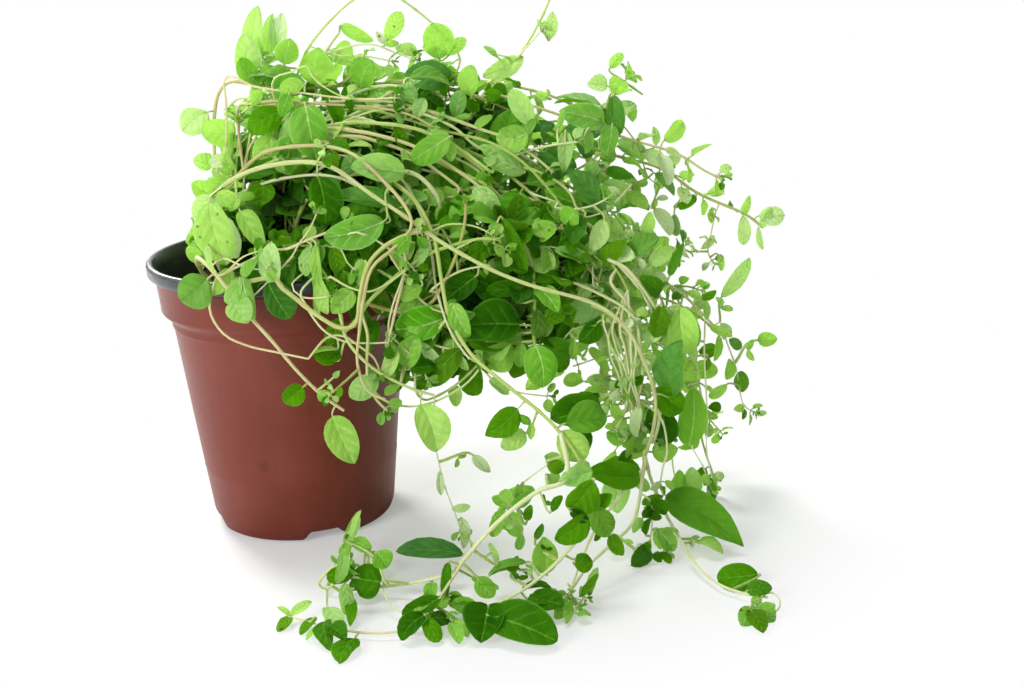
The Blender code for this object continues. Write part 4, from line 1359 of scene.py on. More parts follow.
        (195, -10, 79, 190, -10, 83, 4, 1.3), (206, -10, 40, 211, -10, 41, 3, 1.3),
        (182, -20, 97, 182.5, -20, 88, 3.5, 0.6), (110, -66, 46, 118, -68, 42, 5),
        (141, -62, 34, 139, -64, 18, 12, 0.9), (173, -50, 18, 172, -50, 32, 8.5, 0.7),
        (30, -108, 27, 26, -110, 13, 5, 0.4), (29, -108, 12, 30, -116, 2, 6),
        (89, -108, 18, 86, -106, 26, 3), (110, -98, 50, 114, -98, 46, 6, 0.5),
        (155, -72, 14, 162, -73, 4, 8, 0.2), (66, -63, 40, 66, -63, 29, 3.5, 1.6),
        (74, -62, 18, 74, -62, 4, 5, 1.7), (80, -62, 46, 87, -62, 38, 5, 1.7),
        (124, -112, 4, 128, -109, 15, 4, 0.6), (99, -101, 27, 97, -101, 20, 4, -0.1),
    ],
    ("pale", "left"): [
        (-13, -58, 123, -6, -64, 108, 10), (-22, -18, 150, -30, -22, 140, 8),
        (-16, -10, 176, -18, -12, 164, 6), (-21, -62, 139, -18, -64, 128, 5),
        (163, -48, 99, 164, -49, 88, 5, 0.6), (150, -57, 62, 148, -60, 50, 6, 1.5),
        (32, -107, 28, 37, -104, 41, 3.5), (149, -70, 18, 145, -71, 12, 5, 0.3),
    ],
    ("pale", "skew"): [
        (88, -62, 78, 96, -63, 72, 6),
    ],
    ("pale", "tilt"): [
        (127, -104, 53, 114.5, -104, 50, 9, 0.4), (184, -130, 6, 180, -136, 1, 8, -0.1),
        (186, -130, 5, 193, -133, 1, 8, 0.0),
    ],
    ("pale", "up"): [
        (60, -12, 196, 77, -12, 192, 12, -0.25), (6, 14, 196, -11, 6, 197, 8, 1.1),
        (160, 22, 181, 150, 22, 188, 4), (173, -66, 5, 182, -70, 1, 6), (141, 0, 179, 121, -2, 184, 8),
        (101, 17, 200, 94, 17, 202, 4), (100, -106, 17, 85, -108, 13, 5, -0.2),
        (22, -112, 4, 27, -128, 2, 8), (156, -72, 13, 164, -72, 12, 4, 0.4),
    ],
}

outlineLook = {
    "wander": (0.25, 0.25, 0.25),  # of the way that a face looks
    "shade": 0.4,
    "stalkFrom": 2,  # the least distance from the stem at which a stalk shows
    "stalkGrowth": 0.012,  # how much thicker it is with its length
    "pairFrom": 9,  # the distance from which the stalk is a side shoot with a small pair on it
    "pair": {"at": 0.55, "out": 0.7, "ahead": 0.4, "size": 0.45},
}


def scatter(reach):  # a random offset within that reach on each axis
    return Vector([chance.uniform(-1, 1) * side for side in reach])


def makeOutlineLeaves(branches):
    samples = [(point, branch) for branch in branches for point in branch.path]
    tree = kdtree.KDTree(len(samples))
    for index, (point, _) in enumerate(samples):
        tree.insert(point, index)
    tree.balance()
    pair = outlineLook["pair"]
    leaves = [(*kind, leaf) for kind, group in outlineLeaves.items() for leaf in group]
    for tone, facing, leaf in leaves:
        base = Vector(leaf[:3])
        tip = Vector(leaf[3:6])
        width, *tint = leaf[6:]
        root, index, away = tree.find(base)
        branch = samples[index][1]
        home = branch.home
        ahead = (tip - base).normalized()
        outward = (base - root).normalized() if away > 0.5 else ahead
        start = root + outward * branch.thin * 0.6
        if away > outlineLook["stalkFrom"]:
            thick = leafShape["stalk"] + min(away, 20) * outlineLook["stalkGrowth"]
            addStalk(home, tone, start, base, ahead, outward, thick)
        face = facings[facing] + scatter(outlineLook["wander"])
        own = {"tint": tint[0]} if tint else {}
        addLeaf(home, tone, base, tip, face.normalized(), width, shade=outlineLook["shade"], **own)
        if away > outlineLook["pairFrom"]:
            for turn in (-1, 1):
                middle = start.lerp(base, pair["at"])
                sideways = ahead.cross(face).normalized() * turn
                end = middle + sideways * width * pair["out"] + ahead * width * pair["ahead"]
                addLeaf(home, tone, middle, end, face.normalized(), width * pair["size"])


# Growth along the stems: opposite pairs, each turned a quarter from the last, and short shoots.
# Shares run from 0 at the foot of a stem to 1 at its tip.

growth = {
    "quarter": 1.57,
    "gap": 14.5,  # between pairs
    "gaps": (0.75, 1.3),  # these three are shares of the usual gap and size
    "sizes": (0.7, 1.3),
    "pairSizes": (0.8, 1.15),
    "leaf": 15.0,  # a leaf's length on an older part of a stem
    "slim": (0.62, 0.86),  # a leaf's width over its length
    "lean": (0.25, 0.75),  # how much a leaf follows the way that its stem runs
    "rise": (-0.45, 0.25),
    "stalk": (0.12, 0.32),  # over the leaf's length
    "middle": (60, 0, 120),  # leaves look away from it, up, to the front and at random
    "looks": {"up": 0.55, "away": 0.55, "front": 0.35, "random": 0.45},
    "bare": 0.75,  # the stems thicker than this can be bare on their front
    "shoots": 0.18,  # the chance of a shoot at each node
    "shootLength": (10, 34),
    "shootLeaf": (5.0, 9.5),
    "shootGap": (5.5, 8.0),
    "shootTuft": 4.5,
    "shootThick": (0.62, 0.36),  # the radius at the foot and at the tip
    "shootLift": (-0.5, 0.7),
    "thicketThick": (0.55, 0.34),
    "thicketSizes": (0.7, 1.25),
    "thicketReach": 16,  # the usual length of its shoots
    "spacing": 2.2,  # between the points of a shoot's path
    "wander": 1.2,
    "start": 0.07,
    "tuft": 6.5,
}

# Places where no leaf grows by chance: lowest and highest corner.
clearings = [
    ((116, -60, 156), (156, -2, 192)), ((-80, -60, 108), (-38, 40, 134)),
    ((130, -40, 194), (190, 60, 240)), ((200, -40, 112), (230, 60, 142)),
    ((-46, -30, 184), (-16, 44, 240)), ((-24, -70, 112), (26, -13, 166)),
    ((20, -70, 128), (132, -17, 190)), ((36, -120, 50), (112, -50, 140)),
    ((108, -120, 36), (182, -32, 150)), ((-40, -90, 60), (40, -56, 130)),
    ((-24, -60, 160), (24, -12, 210)), ((-70, -40, 134), (-22, 66, 200)), ((58, -20, 200), (112, 60, 240)),
    ((84, -20, 189), (132, 60, 240)), ((-30, -60, 178), (130, 10, 240)), ((4, -60, 198), (64, 34, 240)),
    ((60, -76, 64), (106, -20, 92)), ((136, -165, 0), (230, -36, 46)), ((172, -60, 52), (208, 4, 112)),
    ((190, -160, 0), (230, 20, 40)), ((-10, -165, 0), (150, -56, 56)), ((196, -60, 60), (230, 0, 100)),
]


def cleared(point):
    return any(all(low[i] < point[i] < high[i] for i in range(3)) for low, high in clearings)


# Parts of the stems that are bare on their front side, so that the bundle shows.
bareFronts = {
    "stem_03": (0.16, 0.42), "stem_04": (0.16, 0.44), "stem_05": (0.16, 0.42), "stem_06": (0.14, 0.36),
    "stem_07": (0.2, 0.5), "stem_08": (0.24, 0.5), "stem_09": (0.45, 0.97), "stem_02": (0.2, 0.5),
    "stem_01": (0.16, 0.5),
}

# How much each stem grows: pairs and shoots, 1 is the usual.
vigour = {
    "stem_09": 0.35, "stem_17": 0.25, "stem_18": 0.0, "stem_19": 0.6, "stem_20": 0.8, "stem_23": 0.5,
    "stem_08": 0.7, "stem_21": 0.9, "stem_12": 0.6, "stem_13": 0.6, "stem_07": 0.7,
}

toneShares = {
    "front": {"bright": 0.42, "dark": 0.36, "pale": 0.22},
    "side": {"bright": 0.6, "dark": 0.12, "pale": 0.28},
    "back": {"bright": 0.6, "dark": 0.15, "pale": 0.25},
}


def pickTone(point):
    where = "front"
    if point.y > 12:
        where = "back"
    elif point.x > 124 or point.z < 60:
        where = "side"
    shares = toneShares[where]
    return chance.choices(list(shares), list(shares.values()))[0]


def leafFacing(point):
    looks = growth["looks"]
    away = (point - Vector(growth["middle"])).normalized()
    facing = upward * looks["up"] + away * looks["away"] + Vector((0, -looks["front"], 0))
    return (facing + scatter((1, 1, 1)) * looks["random"]).normalized()


def bareThere(branch, share, outward):
    low, high = bareFronts.get(branch.home, (1, 0))
    return branch.thick > growth["bare"] and low < share < high and outward.y < 0.25


def growPair(branch, share, turn, size, coats=None, loose=False):
    root, ahead, out = branch.beside(share, turn)
    for outward in (out, -out):
        if bareThere(branch, share, outward):
            continue
        lean = chance.uniform(*growth["lean"])
        rise = Vector((0, 0, chance.uniform(*growth["rise"])))
        heading = (outward + ahead * lean + rise).normalized()
        stalk = size * chance.uniform(*growth["stalk"])
        length = size * chance.uniform(*growth["pairSizes"])
        start = root + outward * branch.radius(share) * 0.6
        base = start + (outward + heading).normalized() * stalk
        tip = base + heading * length
        middle = base.lerp(tip, 0.5)
        if blocked(tip) or blocked(middle) or (cleared(middle) and not loose):
            continue
        coat = chance.choice(coats) if coats else pickTone(base)
        width = length * chance.uniform(*growth["slim"])
        addStalk(branch.home, coat, start, base, heading, outward, 0.25 + 0.012 * size)
        addLeaf(branch.home, coat, base, tip, leafFacing(base), width)


def growTuft(branch, size, loose=False):  # the small leaves that close a tip
    for k in range(3):
        share = 0.999 - k * 1.2 / branch.length
        growPair(branch, share, k * growth["quarter"] + 0.4, size * (0.6 + 0.28 * k), loose=loose)


def growShoot(parent, share, turn, length):
    root, ahead, outward = parent.beside(share, turn)
    lift = chance.uniform(*growth["shootLift"])
    heading = (outward + ahead * 0.5).normalized()
    middle = root + heading * length * 0.5 + upward * (length * 0.06 * lift)
    end = middle + (heading * 0.7 + upward * lift + ahead * 0.3).normalized() * length * 0.5
    if blocked(end) or blocked(middle) or cleared(end):
        return None
    path = curveThrough([root, middle, end], growth["spacing"], heading)
    path = wandered(path, growth["wander"], share * 50)
    shoot = Branch(parent.home, path, *growth["shootThick"])
    places = max(2, round(length / chance.uniform(*growth["shootGap"])))
    turn = chance.random() * 3
    for k in range(places):
        at = (k + 0.7) / (places + 0.4)
        shoot.nodes.append(at)
        size = chance.uniform(*growth["shootLeaf"]) * (1.1 - 0.45 * at)
        growPair(shoot, at, turn + k * growth["quarter"], size)
    growTuft(shoot, growth["shootTuft"])
    return shoot


def growAlong(branch, vigourHere):
    shoots = []
    if vigourHere <= 0:
        return shoots
    travelled = branch.length * growth["start"]
    turn = chance.random() * 3
    while travelled < branch.length - 3:
        share = travelled / branch.length
        branch.nodes.append(share)
        size = growth["leaf"] * (1.1 - 0.4 * share ** 2) * chance.uniform(*growth["sizes"])
        if chance.random() < min(1, vigourHere + 0.15):
            growPair(branch, share, turn, size)
        for sign in (0, math.pi):
            if chance.random() < growth["shoots"] * vigourHere:
                length = chance.uniform(*growth["shootLength"])
                shoots.append(growShoot(branch, share, turn + 0.8 + sign, length))
        turn += growth["quarter"] + chance.uniform(-0.2, 0.2)
        travelled += growth["gap"] * chance.uniform(*growth["gaps"])
    growTuft(branch, growth["tuft"])
    return [shoot for shoot in shoots if shoot]


# Shoots that fill the plant's inside: the place's middle, its reach, how many shoots, the leaves'
# size, and where they aren't mostly dark, their tones.
thickets = [
    ((2, -2, 142), (26, 20, 24), 18, 9), ((36, -8, 148), (26, 18, 22), 18, 10),
    ((68, -16, 134), (24, 20, 22), 26, 12), ((96, -24, 120), (24, 20, 24), 30, 12),
    ((122, -22, 120), (18, 18, 22), 16, 10), ((24, -40, 126), (24, 8, 10), 14, 9),
    ((148, -28, 90), (14, 14, 34), 16, 9, ("bright",)), ((60, 4, 172), (44, 10, 12), 16, 10),
    ((84, -8, 100), (26, 16, 16), 16, 12), ((84, -38, 98), (28, 6, 18), 22, 13),
    ((116, -28, 106), (14, 8, 20), 14, 12), ((66, -50, 90), (14, 5, 8), 8, 10),
    ((122, 14, 76), (24, 14, 26), 18, 8, ("bright",)), ((64, 2, 140), (16, 10, 14), 10, 12),
    ((150, -10, 60), (20, 16, 30), 14, 8, ("bright",)),
]


def makeThicket(mains, middle, reach, count, leaf, coats=("dark", "dark", "dark", "bright")):
    shoots = []
    samples = [(point, branch) for branch in mains for point in branch.path[3:-1:2]]
    for _ in range(count):
        goal = Vector(middle) + scatter(reach)
        if blocked(goal):
            continue
        usual = growth["thicketReach"]
        start, branch = min(samples, key=lambda sample: abs((sample[0] - goal).length - usual))
        bend = start.lerp(goal, 0.5) + upward * chance.uniform(-2, 4)
        path = wandered(curveThrough([start, bend, goal], growth["spacing"]), growth["wander"], goal.x)
        shoot = Branch(branch.home, path, *growth["thicketThick"])
        turn = chance.random() * 3
        for k in range(3):
            share = 0.35 + 0.3 * k
            shoot.nodes.append(share)
            size = leaf * chance.uniform(*growth["thicketSizes"])
            growPair(shoot, share, turn + k * growth["quarter"], size, coats, True)
        shoots.append(shoot)
    return shoots


# Thinner stems that run beside the main ones: the stem that each follows, how far it goes, and how
# far to its side it runs at its middle.
companions = [
    ("stem_03", 0.92, (-3, 6, 7)), ("stem_03", 0.7, (4, 7, -8)), ("stem_04", 0.85, (2, -6, 6)),
    ("stem_04", 0.6, (3, 8, -9)), ("stem_05", 0.75, (-2, 7, 7)), ("stem_05", 0.95, (4, -8, -6)),
    ("stem_06", 0.8, (-4, 8, 5)), ("stem_06", 0.6, (6, 6, -9)), ("stem_07", 0.7, (0, 8, -8)),
    ("stem_07", 0.9, (2, -7, 6)), ("stem_08", 0.8, (4, 9, -8)), ("stem_12", 0.7, (0, 9, -8)),
    ("stem_13", 0.9, (3, -9, -9)), ("stem_13", 0.8, (0, 9, 8)), ("stem_14", 0.9, (3, -9, 5)),
    ("stem_15", 0.9, (4, -9, 6)), ("stem_16", 0.8, (4, -9, 6)), ("stem_01", 0.45, (5, 8, -5)),
    ("stem_02", 0.5, (5, 8, -6)), ("stem_10", 0.9, (6, -9, 0)), ("stem_11", 0.9, (-7, -8, 0)),
    ("stem_14", 0.7, (-4, 8, -9)), ("stem_15", 0.7, (-4, 9, -9)), ("stem_19", 0.6, (5, 6, 4)),
]

companionShape = {
    "drift": 9,
    "gap": 2.6,  # from the stem that it follows
    "slimness": 0.72,
    "thin": 0.5,  # the radius at its tip
}

# Thin loose stems that cross and hang over the others: radius, tint from olive to cream, blush,
# route, and for some the size of the leaves on it.
strands = [
    # the left side and the top
    (0.5, 1.0, 0.1, [(-24, -12, 160), (-20, -13, 167), (-18, -14, 177), (-17, -14, 190), (-17, -14, 198),
     (-13, -15, 200), (-6, -15, 196), (2, -15, 194), (14, -16, 192), (28, -17, 190), (42, -19, 189),
     (56, -20, 189)]),
    (0.42, 0.7, 0.1, [(3, -14, 196), (12, -16, 201), (18, -16, 203), (20, -16, 199), (24, -17, 195),
     (30, -17, 191), (36, -17, 189)]),
    (0.6, 0.8, 0.8, [(-13, -13, 186), (-6, -14, 188), (4, -15, 189), (14, -16, 188), (24, -17, 187),
     (36, -18, 186), (48, -20, 185), (60, -22, 182), (70, -22, 176)]),
    (0.55, 0.7, 0.5, [(-12, -11, 183), (0, -13, 187), (12, -14, 187), (26, -16, 188), (44, -17, 188),
     (58, -18, 186), (72, -18, 180)]),
    (0.5, 0.6, 0.2, [(-17, -12, 148), (-16, -12, 160), (-14, -12, 172), (-12, -13, 183)]),
    (0.45, 0.8, 0.2, [(-14, -12, 150), (-12, -12, 164), (-9, -12, 175), (-5, -13, 187)]),
    (0.5, 0.9, 0.2, [(-12, -13, 158), (-10, -13, 168), (-6, -13, 175), (-3, -13, 181)]),
    (0.4, 0.5, 0.0, [(-20, -12, 150), (-18, -11, 162), (-16, -10, 175), (-15, -10, 184)], 5),
    (0.7, 0.4, 0.2, [(-22, -18, 150), (-14, -21, 158), (-4, -24, 163), (6, -26, 167)]),
    # inside, behind the front arches
    (0.6, 0.2, 0.0, [(2, -12, 112), (3, -11, 138), (3, -10, 150), (7, -9, 162)]),
    (0.6, 0.4, 0.0, [(6, -13, 112), (7, -12, 138), (6, -11, 150), (8, -10, 162)]),
    (0.6, 0.3, 0.0, [(5, -14, 112), (9, -13, 139), (13, -12, 150), (18, -11, 160)]),
    (0.5, 0.6, 0.0, [(10, -15, 112), (14, -14, 134), (19, -13, 144)]),
    (0.55, 0.2, 0.0, [(-6, -12, 112), (-6, -12, 140), (-4, -11, 152)]),
    (0.5, 0.6, 0.0, [(13, -16, 112), (17, -15, 136), (22, -14, 148)]),
    (0.35, 0.8, 0.0, [(10, -13, 146), (15, -14, 146), (17, -14, 140), (15, -15, 132)]),
    (0.45, 0.4, 0.0, [(-10, -14, 112), (-9, -13, 142), (-6, -12, 156)]),
    # the bundle that runs off to the right
    (0.9, 0.5, 0.1, [(24, -20, 178), (36, -21, 180), (48, -22, 179), (60, -23, 177), (70, -24, 173),
     (82, -26, 166), (92, -28, 158)]),
    (0.9, 0.7, 0.1, [(24, -22, 177), (38, -23, 176), (48, -24, 174), (58, -25, 171), (68, -27, 166),
     (80, -29, 158), (90, -31, 150)]),
    (0.8, 0.6, 0.1, [(24, -22, 174), (38, -24, 174), (48, -25, 171), (58, -26, 167), (68, -29, 161),
     (76, -31, 155), (79, -32, 152), (76, -33, 149), (70, -33, 149)]),
    (0.5, 0.8, 0.0, [(34, -23, 174), (41, -24, 171), (45, -25, 166)]),
    (0.5, 0.5, 0.0, [(30, -19, 179), (37, -20, 182), (46, -20, 184), (56, -20, 184)]),
    (0.8, 0.7, 0.2, [(60, -18, 184), (70, -18, 182), (80, -18, 178), (90, -19, 174), (100, -20, 170),
     (110, -22, 163), (118, -24, 156)]),
    (0.6, 0.8, 0.1, [(64, -20, 182), (74, -21, 178), (80, -21, 174), (85, -22, 169), (92, -22, 165),
     (100, -22, 163), (108, -22, 165), (118, -22, 167), (130, -22, 168)]),
    (0.7, 0.4, 0.1, [(76, -22, 168), (83, -23, 163), (89, -24, 158), (96, -26, 150)]),
    (0.9, 0.8, 0.2, [(66, -26, 148), (74, -26, 150), (84, -26, 151), (96, -26, 149), (106, -27, 146),
     (116, -28, 142), (127, -30, 137), (134, -31, 133), (140, -32, 129), (146, -33, 126)]),
    (0.6, 0.9, 0.0, [(127, -30, 137), (131, -32, 131), (133, -34, 124), (133, -36, 116),
     (133, -38, 108)], 6),
    (0.45, 0.8, 0.0, [(127, -30, 137), (134, -30, 138), (141, -29, 140)]),
    (0.45, 0.9, 0.1, [(66, -28, 146), (72, -28, 149), (82, -28, 151)]),
    (0.7, 0.5, 0.1, [(106, -22, 158), (113, -23, 156), (120, -25, 152), (125, -27, 147), (128, -30, 138)]),
    (1.0, 0.9, 0.0, [(50, -38, 160), (57, -38, 161), (63, -38, 159), (68, -38, 154), (71, -38, 148),
     (70, -38, 142), (66, -39, 138), (60, -40, 137), (54, -40, 137)]),
    # the middle
    (1.0, 0.4, 0.0, [(3, -63, 125), (8, -66, 121), (14, -67, 116), (20, -68, 111), (26, -69, 107),
     (31, -70, 105), (36, -70, 106), (38, -70, 111), (39, -70, 118), (41, -69, 126), (44, -68, 132),
     (50, -66, 137), (58, -62, 140), (64, -58, 140)]),
    (0.85, 0.3, 0.0, [(37, -69, 108), (42, -68, 115), (50, -66, 122), (58, -62, 127), (66, -59, 131),
     (76, -57, 134), (86, -56, 136), (95, -55, 135)]),
    (0.4, 0.5, 0.0, [(87, -56, 136), (93, -55, 133), (99, -55, 130)]),
    (0.45, 0.5, 0.0, [(64, -56, 138), (74, -55, 142), (84, -54, 141), (92, -54, 137)]),
    (0.5, 0.8, 0.0, [(66, -60, 116), (73, -59, 121), (80, -59, 124), (88, -58, 125)]),
    (0.8, 0.3, 0.9, [(52, -60, 108), (60, -60, 108), (67, -59, 112), (72, -58, 120), (77, -57, 130),
     (81, -55, 142), (82, -52, 152)]),
    (0.65, 1.0, 0.2, [(58, -62, 134), (56, -64, 124), (53, -66, 113), (50, -68, 102), (47, -69, 91),
     (44, -69, 84)]),
    (0.45, 0.9, 0.0, [(57, -64, 128), (51, -67, 112), (49, -68, 102), (53, -67, 96), (60, -66, 88),
     (64, -66, 79)]),
    (0.5, 0.6, 0.0, [(57, -62, 122), (61, -62, 115), (67, -62, 109), (74, -62, 107)]),
    (0.5, 0.8, 0.1, [(66, -62, 95), (76, -62, 91), (84, -62, 85), (90, -62, 78), (98, -62, 73),
     (106, -62, 71), (114, -62, 70)]),
    (0.6, 0.6, 0.0, [(62, -63, 71), (72, -62, 75), (80, -61, 81), (88, -59, 89)]),
    (0.6, 0.7, 0.0, [(40, -70, 84), (44, -71, 76), (54, -70, 71), (66, -69, 72), (78, -67, 78),
     (86, -65, 86)]),
    # over the front of the rim
    (0.5, 0.9, 0.1, [(15, -66, 120), (17, -67, 114), (20, -68, 108), (24, -69, 103), (31, -70, 99),
     (40, -70, 98), (50, -69, 98)]),
    (0.7, 0.6, 0.0, [(39, -69, 111), (41, -70, 102), (40, -71, 92), (40, -72, 82), (43, -73, 75),
     (48, -74, 70)]),
    (0.5, 0.6, 0.0, [(24, -69, 101), (31, -70, 102), (37, -71, 98), (43, -71, 92), (45, -71, 84)]),
    (0.4, 0.9, 0.2, [(12, -65, 123), (15, -66, 118), (21, -67, 117), (29, -67, 118)]),
    (0.6, 1.0, 0.1, [(2, -60, 135), (10, -61, 136), (18, -61, 139), (27, -60, 142), (36, -58, 146)]),
    (0.4, 0.9, 0.1, [(10, -62, 131), (15, -62, 138), (20, -61, 144), (24, -60, 152)]),
    (0.4, 0.7, 0.0, [(32, -62, 135), (34, -63, 130), (38, -64, 126)]),
    (0.5, 0.8, 0.0, [(36, -62, 142), (44, -62, 140), (51, -63, 135), (57, -63, 130), (62, -62, 123)]),
    (0.5, 0.6, 0.0, [(27, -65, 125), (34, -67, 121), (42, -68, 119), (50, -67, 122), (58, -65, 127)]),
    (0.4, 1.0, 0.3, [(-16, -60, 133), (-9, -63, 131), (-2, -64, 129), (4, -64, 130)]),
    (0.4, 1.0, 0.2, [(-14, -60, 128), (-7, -63, 134), (0, -62, 136)]),
    # the top, the far right and the floor
    (0.5, 0.9, 0.0, [(18, 16, 203), (30, 17, 207), (42, 17, 208), (52, 17, 204), (62, 17, 200)]),
    (0.45, 0.8, 0.0, [(26, 16, 204), (40, 17, 203), (52, 17, 200)], 5),
    (0.35, 0.9, 0.0, [(106, 20, 200), (112, 21, 206), (118, 24, 212)]),
    (0.35, 0.3, 0.2, [(150, 12, 170), (157, 11, 160), (159, 10, 152), (161, 9, 146), (166, 9, 142)], 4),
    (0.35, 0.8, 0.2, [(191, 9, 130), (189, 8, 122), (187, 7, 112), (190, 6, 106)], 4),
    (0.4, 1.0, 0.0, [(182, -20, 88), (181, -26, 74), (180, -36, 62), (179, -46, 50), (178, -50, 40),
     (181, -50, 26)]),
    (0.35, 1.0, 0.0, [(168, -46, 56), (172, -50, 42), (177, -50, 32), (181, -50, 20)]),
    (0.5, 1.0, 0.0, [(158, -58, 58), (160, -64, 46), (158, -66, 38), (157, -66, 30)]),
    (0.4, 0.9, 0.0, [(190, -10, 84), (193, -10, 74), (197, -10, 62), (200, -10, 46), (206, -10, 41)]),
    (0.4, 0.9, 0.0, [(162, -46, 60), (164, -46, 44), (165, -48, 28), (170, -50, 14)]),
    (0.6, 0.7, 0.1, [(44, -107, 12), (36, -106, 13), (28, -106, 14), (22, -108, 10), (19, -109, 13),
     (24, -108, 19), (32, -107, 21)]),
    (0.55, 0.7, 0.0, [(45, -107, 11), (42, -107, 20), (38, -107, 25), (31, -107, 29)]),
    (0.35, 1.0, 0.0, [(66, -70, 74), (65, -66, 58), (66, -63, 44), (68, -62, 32), (71, -62, 22),
     (74, -62, 10)]),
    (0.4, 1.0, 0.0, [(153, -70, 24), (152, -72, 9), (147, -73, 8), (145, -74, 4), (147, -75, 1),
     (151, -75, 1), (154, -74, 3), (160, -73, 4)]),
    (0.4, 1.0, 0.0, [(191, -117, 4), (195, -113, 3), (197, -119, 3), (195, -127, 3), (189, -132, 2),
     (188, -126, 3)]),
    (0.35, 0.9, 0.0, [(112, -70, 44), (104, -63, 36), (97, -60, 29), (93, -60, 22), (91, -60, 12)]),
    (0.4, 0.8, 0.0, [(116, -108, 8), (118, -112, 4), (121, -113, 3), (124, -112, 4)]),
    (0.6, 0.9, 0.1, [(136, -92, 34), (128, -97, 26), (123, -101, 17), (119, -106, 9), (116, -112, 4)]),
    (0.35, 0.8, 0.0, [(44, -109, 9), (47, -114, 5), (53, -120, 4), (62, -124, 4)]),
    # the right side
    (0.7, 0.9, 0.2, [(140, -42, 112), (146, -44, 104), (150, -46, 95), (151, -48, 85), (152, -49, 74),
     (150, -50, 62), (148, -52, 50)]),
    (0.6, 0.9, 0.1, [(143, -40, 100), (146, -42, 90), (147, -44, 80), (147, -46, 70), (148, -48, 60),
     (150, -50, 50)]),
    (0.55, 0.8, 0.1, [(139, -42, 98), (141, -44, 90), (144, -46, 82), (146, -47, 74), (145, -48, 62)]),
    (0.55, 0.8, 0.1, [(148, -40, 92), (150, -43, 84), (150, -45, 76), (152, -46, 66)], 5),
    (0.5, 0.8, 0.0, [(140, -50, 96), (141, -50, 88), (144, -51, 79), (146, -52, 72)]),
    (0.5, 0.9, 0.1, [(143, -50, 95), (145, -50, 86), (146, -51, 76), (147, -52, 70), (150, -53, 60),
     (152, -54, 50)]),
    (0.6, 1.0, 0.1, [(147, -49, 92), (147, -50, 84), (147, -51, 76), (145, -52, 66), (143, -53, 58),
     (139, -54, 50)]),
    (0.5, 0.9, 0.0, [(149, -50, 88), (149, -51, 80), (148, -52, 72), (150, -53, 62), (151, -54, 52)]),
    (0.55, 0.7, 0.1, [(138, -50, 90), (142, -51, 80), (144, -52, 70), (147, -53, 60), (149, -54, 50),
     (147, -55, 44)]),
    (0.9, 0.9, 0.2, [(154, -56, 76), (157, -57, 66), (158, -57, 60), (157, -57, 52), (155, -57, 46)]),
    (0.5, 0.9, 0.0, [(140, -50, 66), (145, -51, 63), (147, -52, 55), (146, -53, 48)]),
    (0.45, 0.9, 0.0, [(136, -48, 98), (138, -49, 90), (139, -50, 82), (142, -51, 74), (143, -52, 66)]),
    (0.8, 0.9, 0.2, [(140, -40, 121), (146, -42, 118), (151, -43, 112), (155, -44, 106), (159, -45, 99),
     (162, -46, 90)]),
    (0.7, 0.9, 0.1, [(142, -38, 120), (149, -40, 113), (154, -42, 106), (157, -43, 99), (158, -44, 88)]),
    (0.8, 0.5, 0.1, [(118, -44, 104), (128, -45, 104), (137, -46, 101), (144, -47, 95), (149, -48, 88),
     (152, -50, 80)]),
    (0.7, 0.9, 0.1, [(116, -44, 116), (126, -45, 113), (136, -46, 108), (144, -47, 103), (150, -48, 97)]),
    (0.5, 0.9, 0.0, [(110, -30, 148), (118, -31, 145), (124, -32, 141), (129, -33, 134), (132, -35, 127),
     (132, -38, 119)]),
    (0.5, 0.9, 0.0, [(118, -34, 143), (126, -34, 142), (134, -33, 143), (141, -32, 146)]),
    (0.4, 0.9, 0.0, [(114, -40, 128), (122, -40, 126), (132, -40, 123)]),
    (0.4, 0.8, 0.0, [(115, -46, 82), (119, -46, 89), (124, -46, 94), (132, -46, 95)]),
]

strandShape = {
    "rooted": (113, 50),  # a strand that starts under this height and within this radius
    "spacing": 2.4,
    "wander": 0.6,
    "taper": 0.75,
    "gap": 16,  # between its nodes
    "sizes": (0.8, 1.3),
    "tuft": 4.5,
}


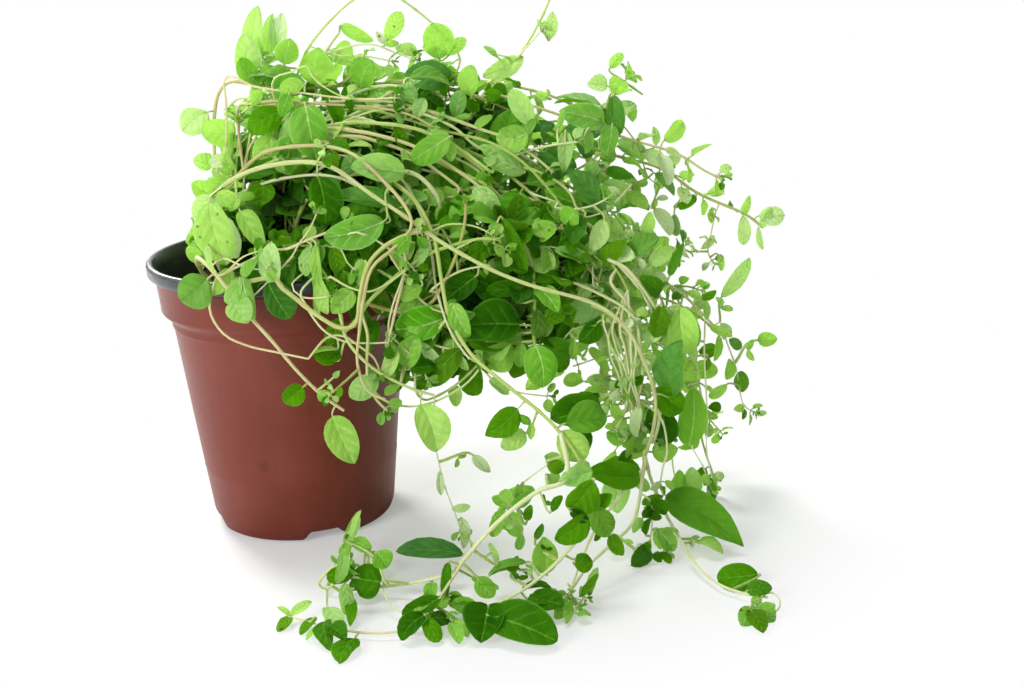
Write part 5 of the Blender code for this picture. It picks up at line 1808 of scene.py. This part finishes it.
def makeStrand(mains, index, radius, tint, blush, route, leaf=None):
    points = [Vector(point) for point in route]
    first = points[0]
    heading = (points[1] - first).normalized()

    def turnTo(sample):  # how far the start is, more where the strand would have to turn back
        step = first - sample[0]
        return step.length * 2 - step.dot(heading)

    start, home = min([(point, branch.home) for branch in mains for point in branch.path], key=turnTo)
    height, reach = strandShape["rooted"]
    rooted = first.z < height and math.hypot(first.x, first.y) < reach
    if not rooted and (start - first).length > 1:
        points.insert(0, start)
    path = wandered(curveThrough(points, strandShape["spacing"]), strandShape["wander"], index * 1.7)
    strand = Branch(home, path, radius, radius * strandShape["taper"])
    strand.tone = (tint, blush, chance.random())
    places = round(strand.length / strandShape["gap"])
    strand.nodes += [(k + chance.uniform(0.3, 0.7)) / (places + 0.5) for k in range(places)]
    for k, share in enumerate(strand.nodes if leaf else []):
        size = leaf * chance.uniform(*strandShape["sizes"])
        growPair(strand, share, k * growth["quarter"], size, loose=True)
    growTuft(strand, leaf or strandShape["tuft"], True)
    return strand


def makeCompanion(index, home, reach, aside):
    main = stemBranches[home]
    aside = Vector(aside)
    path = []
    for point, travelled in zip(main.path, main.lengths):
        share = travelled / main.length
        if share > reach:
            break
        swing = math.sin(math.pi * min(1.0, share / reach * 0.62))
        drift = noise.noise_vector(point * 0.02 + Vector((index * 3.1, 5, 0)))
        drift *= companionShape["drift"] * share
        path.append(point + aside * swing + drift + aside.normalized() * companionShape["gap"])
    return Branch(home, path, main.thick * companionShape["slimness"], companionShape["thin"])


def makePlant():
    mains = list(stemBranches.values())
    mains += [makeCompanion(index, *row) for index, row in enumerate(companions)]
    mains.sort(key=lambda branch: list(stems).index(branch.home))  # companions after their stem
    strandBranches = [makeStrand(mains, index, *row) for index, row in enumerate(strands)]
    drawn = {name: [branch for branch in mains + strandBranches if branch.home == name] for name in stems}
    makeLargeLeaves()
    makeOutlineLeaves([branch for group in drawn.values() for branch in group])
    for branch in mains:
        drawn[branch.home] += growAlong(branch, vigour.get(branch.home, 1.0))
    for place in thickets:
        for shoot in makeThicket(mains, *place):
            drawn[shoot.home].append(shoot)
    skins = {name: stemFinish(name) for name in ("pale", "pink")}
    coats = {tone: [leafFinish(tone, under) for under in (False, True)] for tone in leafLooks}
    stalk = stalkFinish()
    for name, group in drawn.items():
        shape = Shape()
        for branch in group:
            branch.draw(shape, 8 if branch.thick > 0.7 else 6)
        skin = stems[name][1]
        addPiece(name, shape, [skins[skin]], skin + "_stem", [name])
    for (home, tone), shape in sorted(leafShapes.items()):
        stands = [leaf for leaf, values in largeLeaves.items() if values[0] == home and values[5] == tone]
        addPiece(f"{home}_{tone}_leaves", shape, [*coats[tone], stalk], tone + "_leaf", stands)
    print("plant made:", len(mains), "stems,", len(strandBranches), "strands")


makePlant()
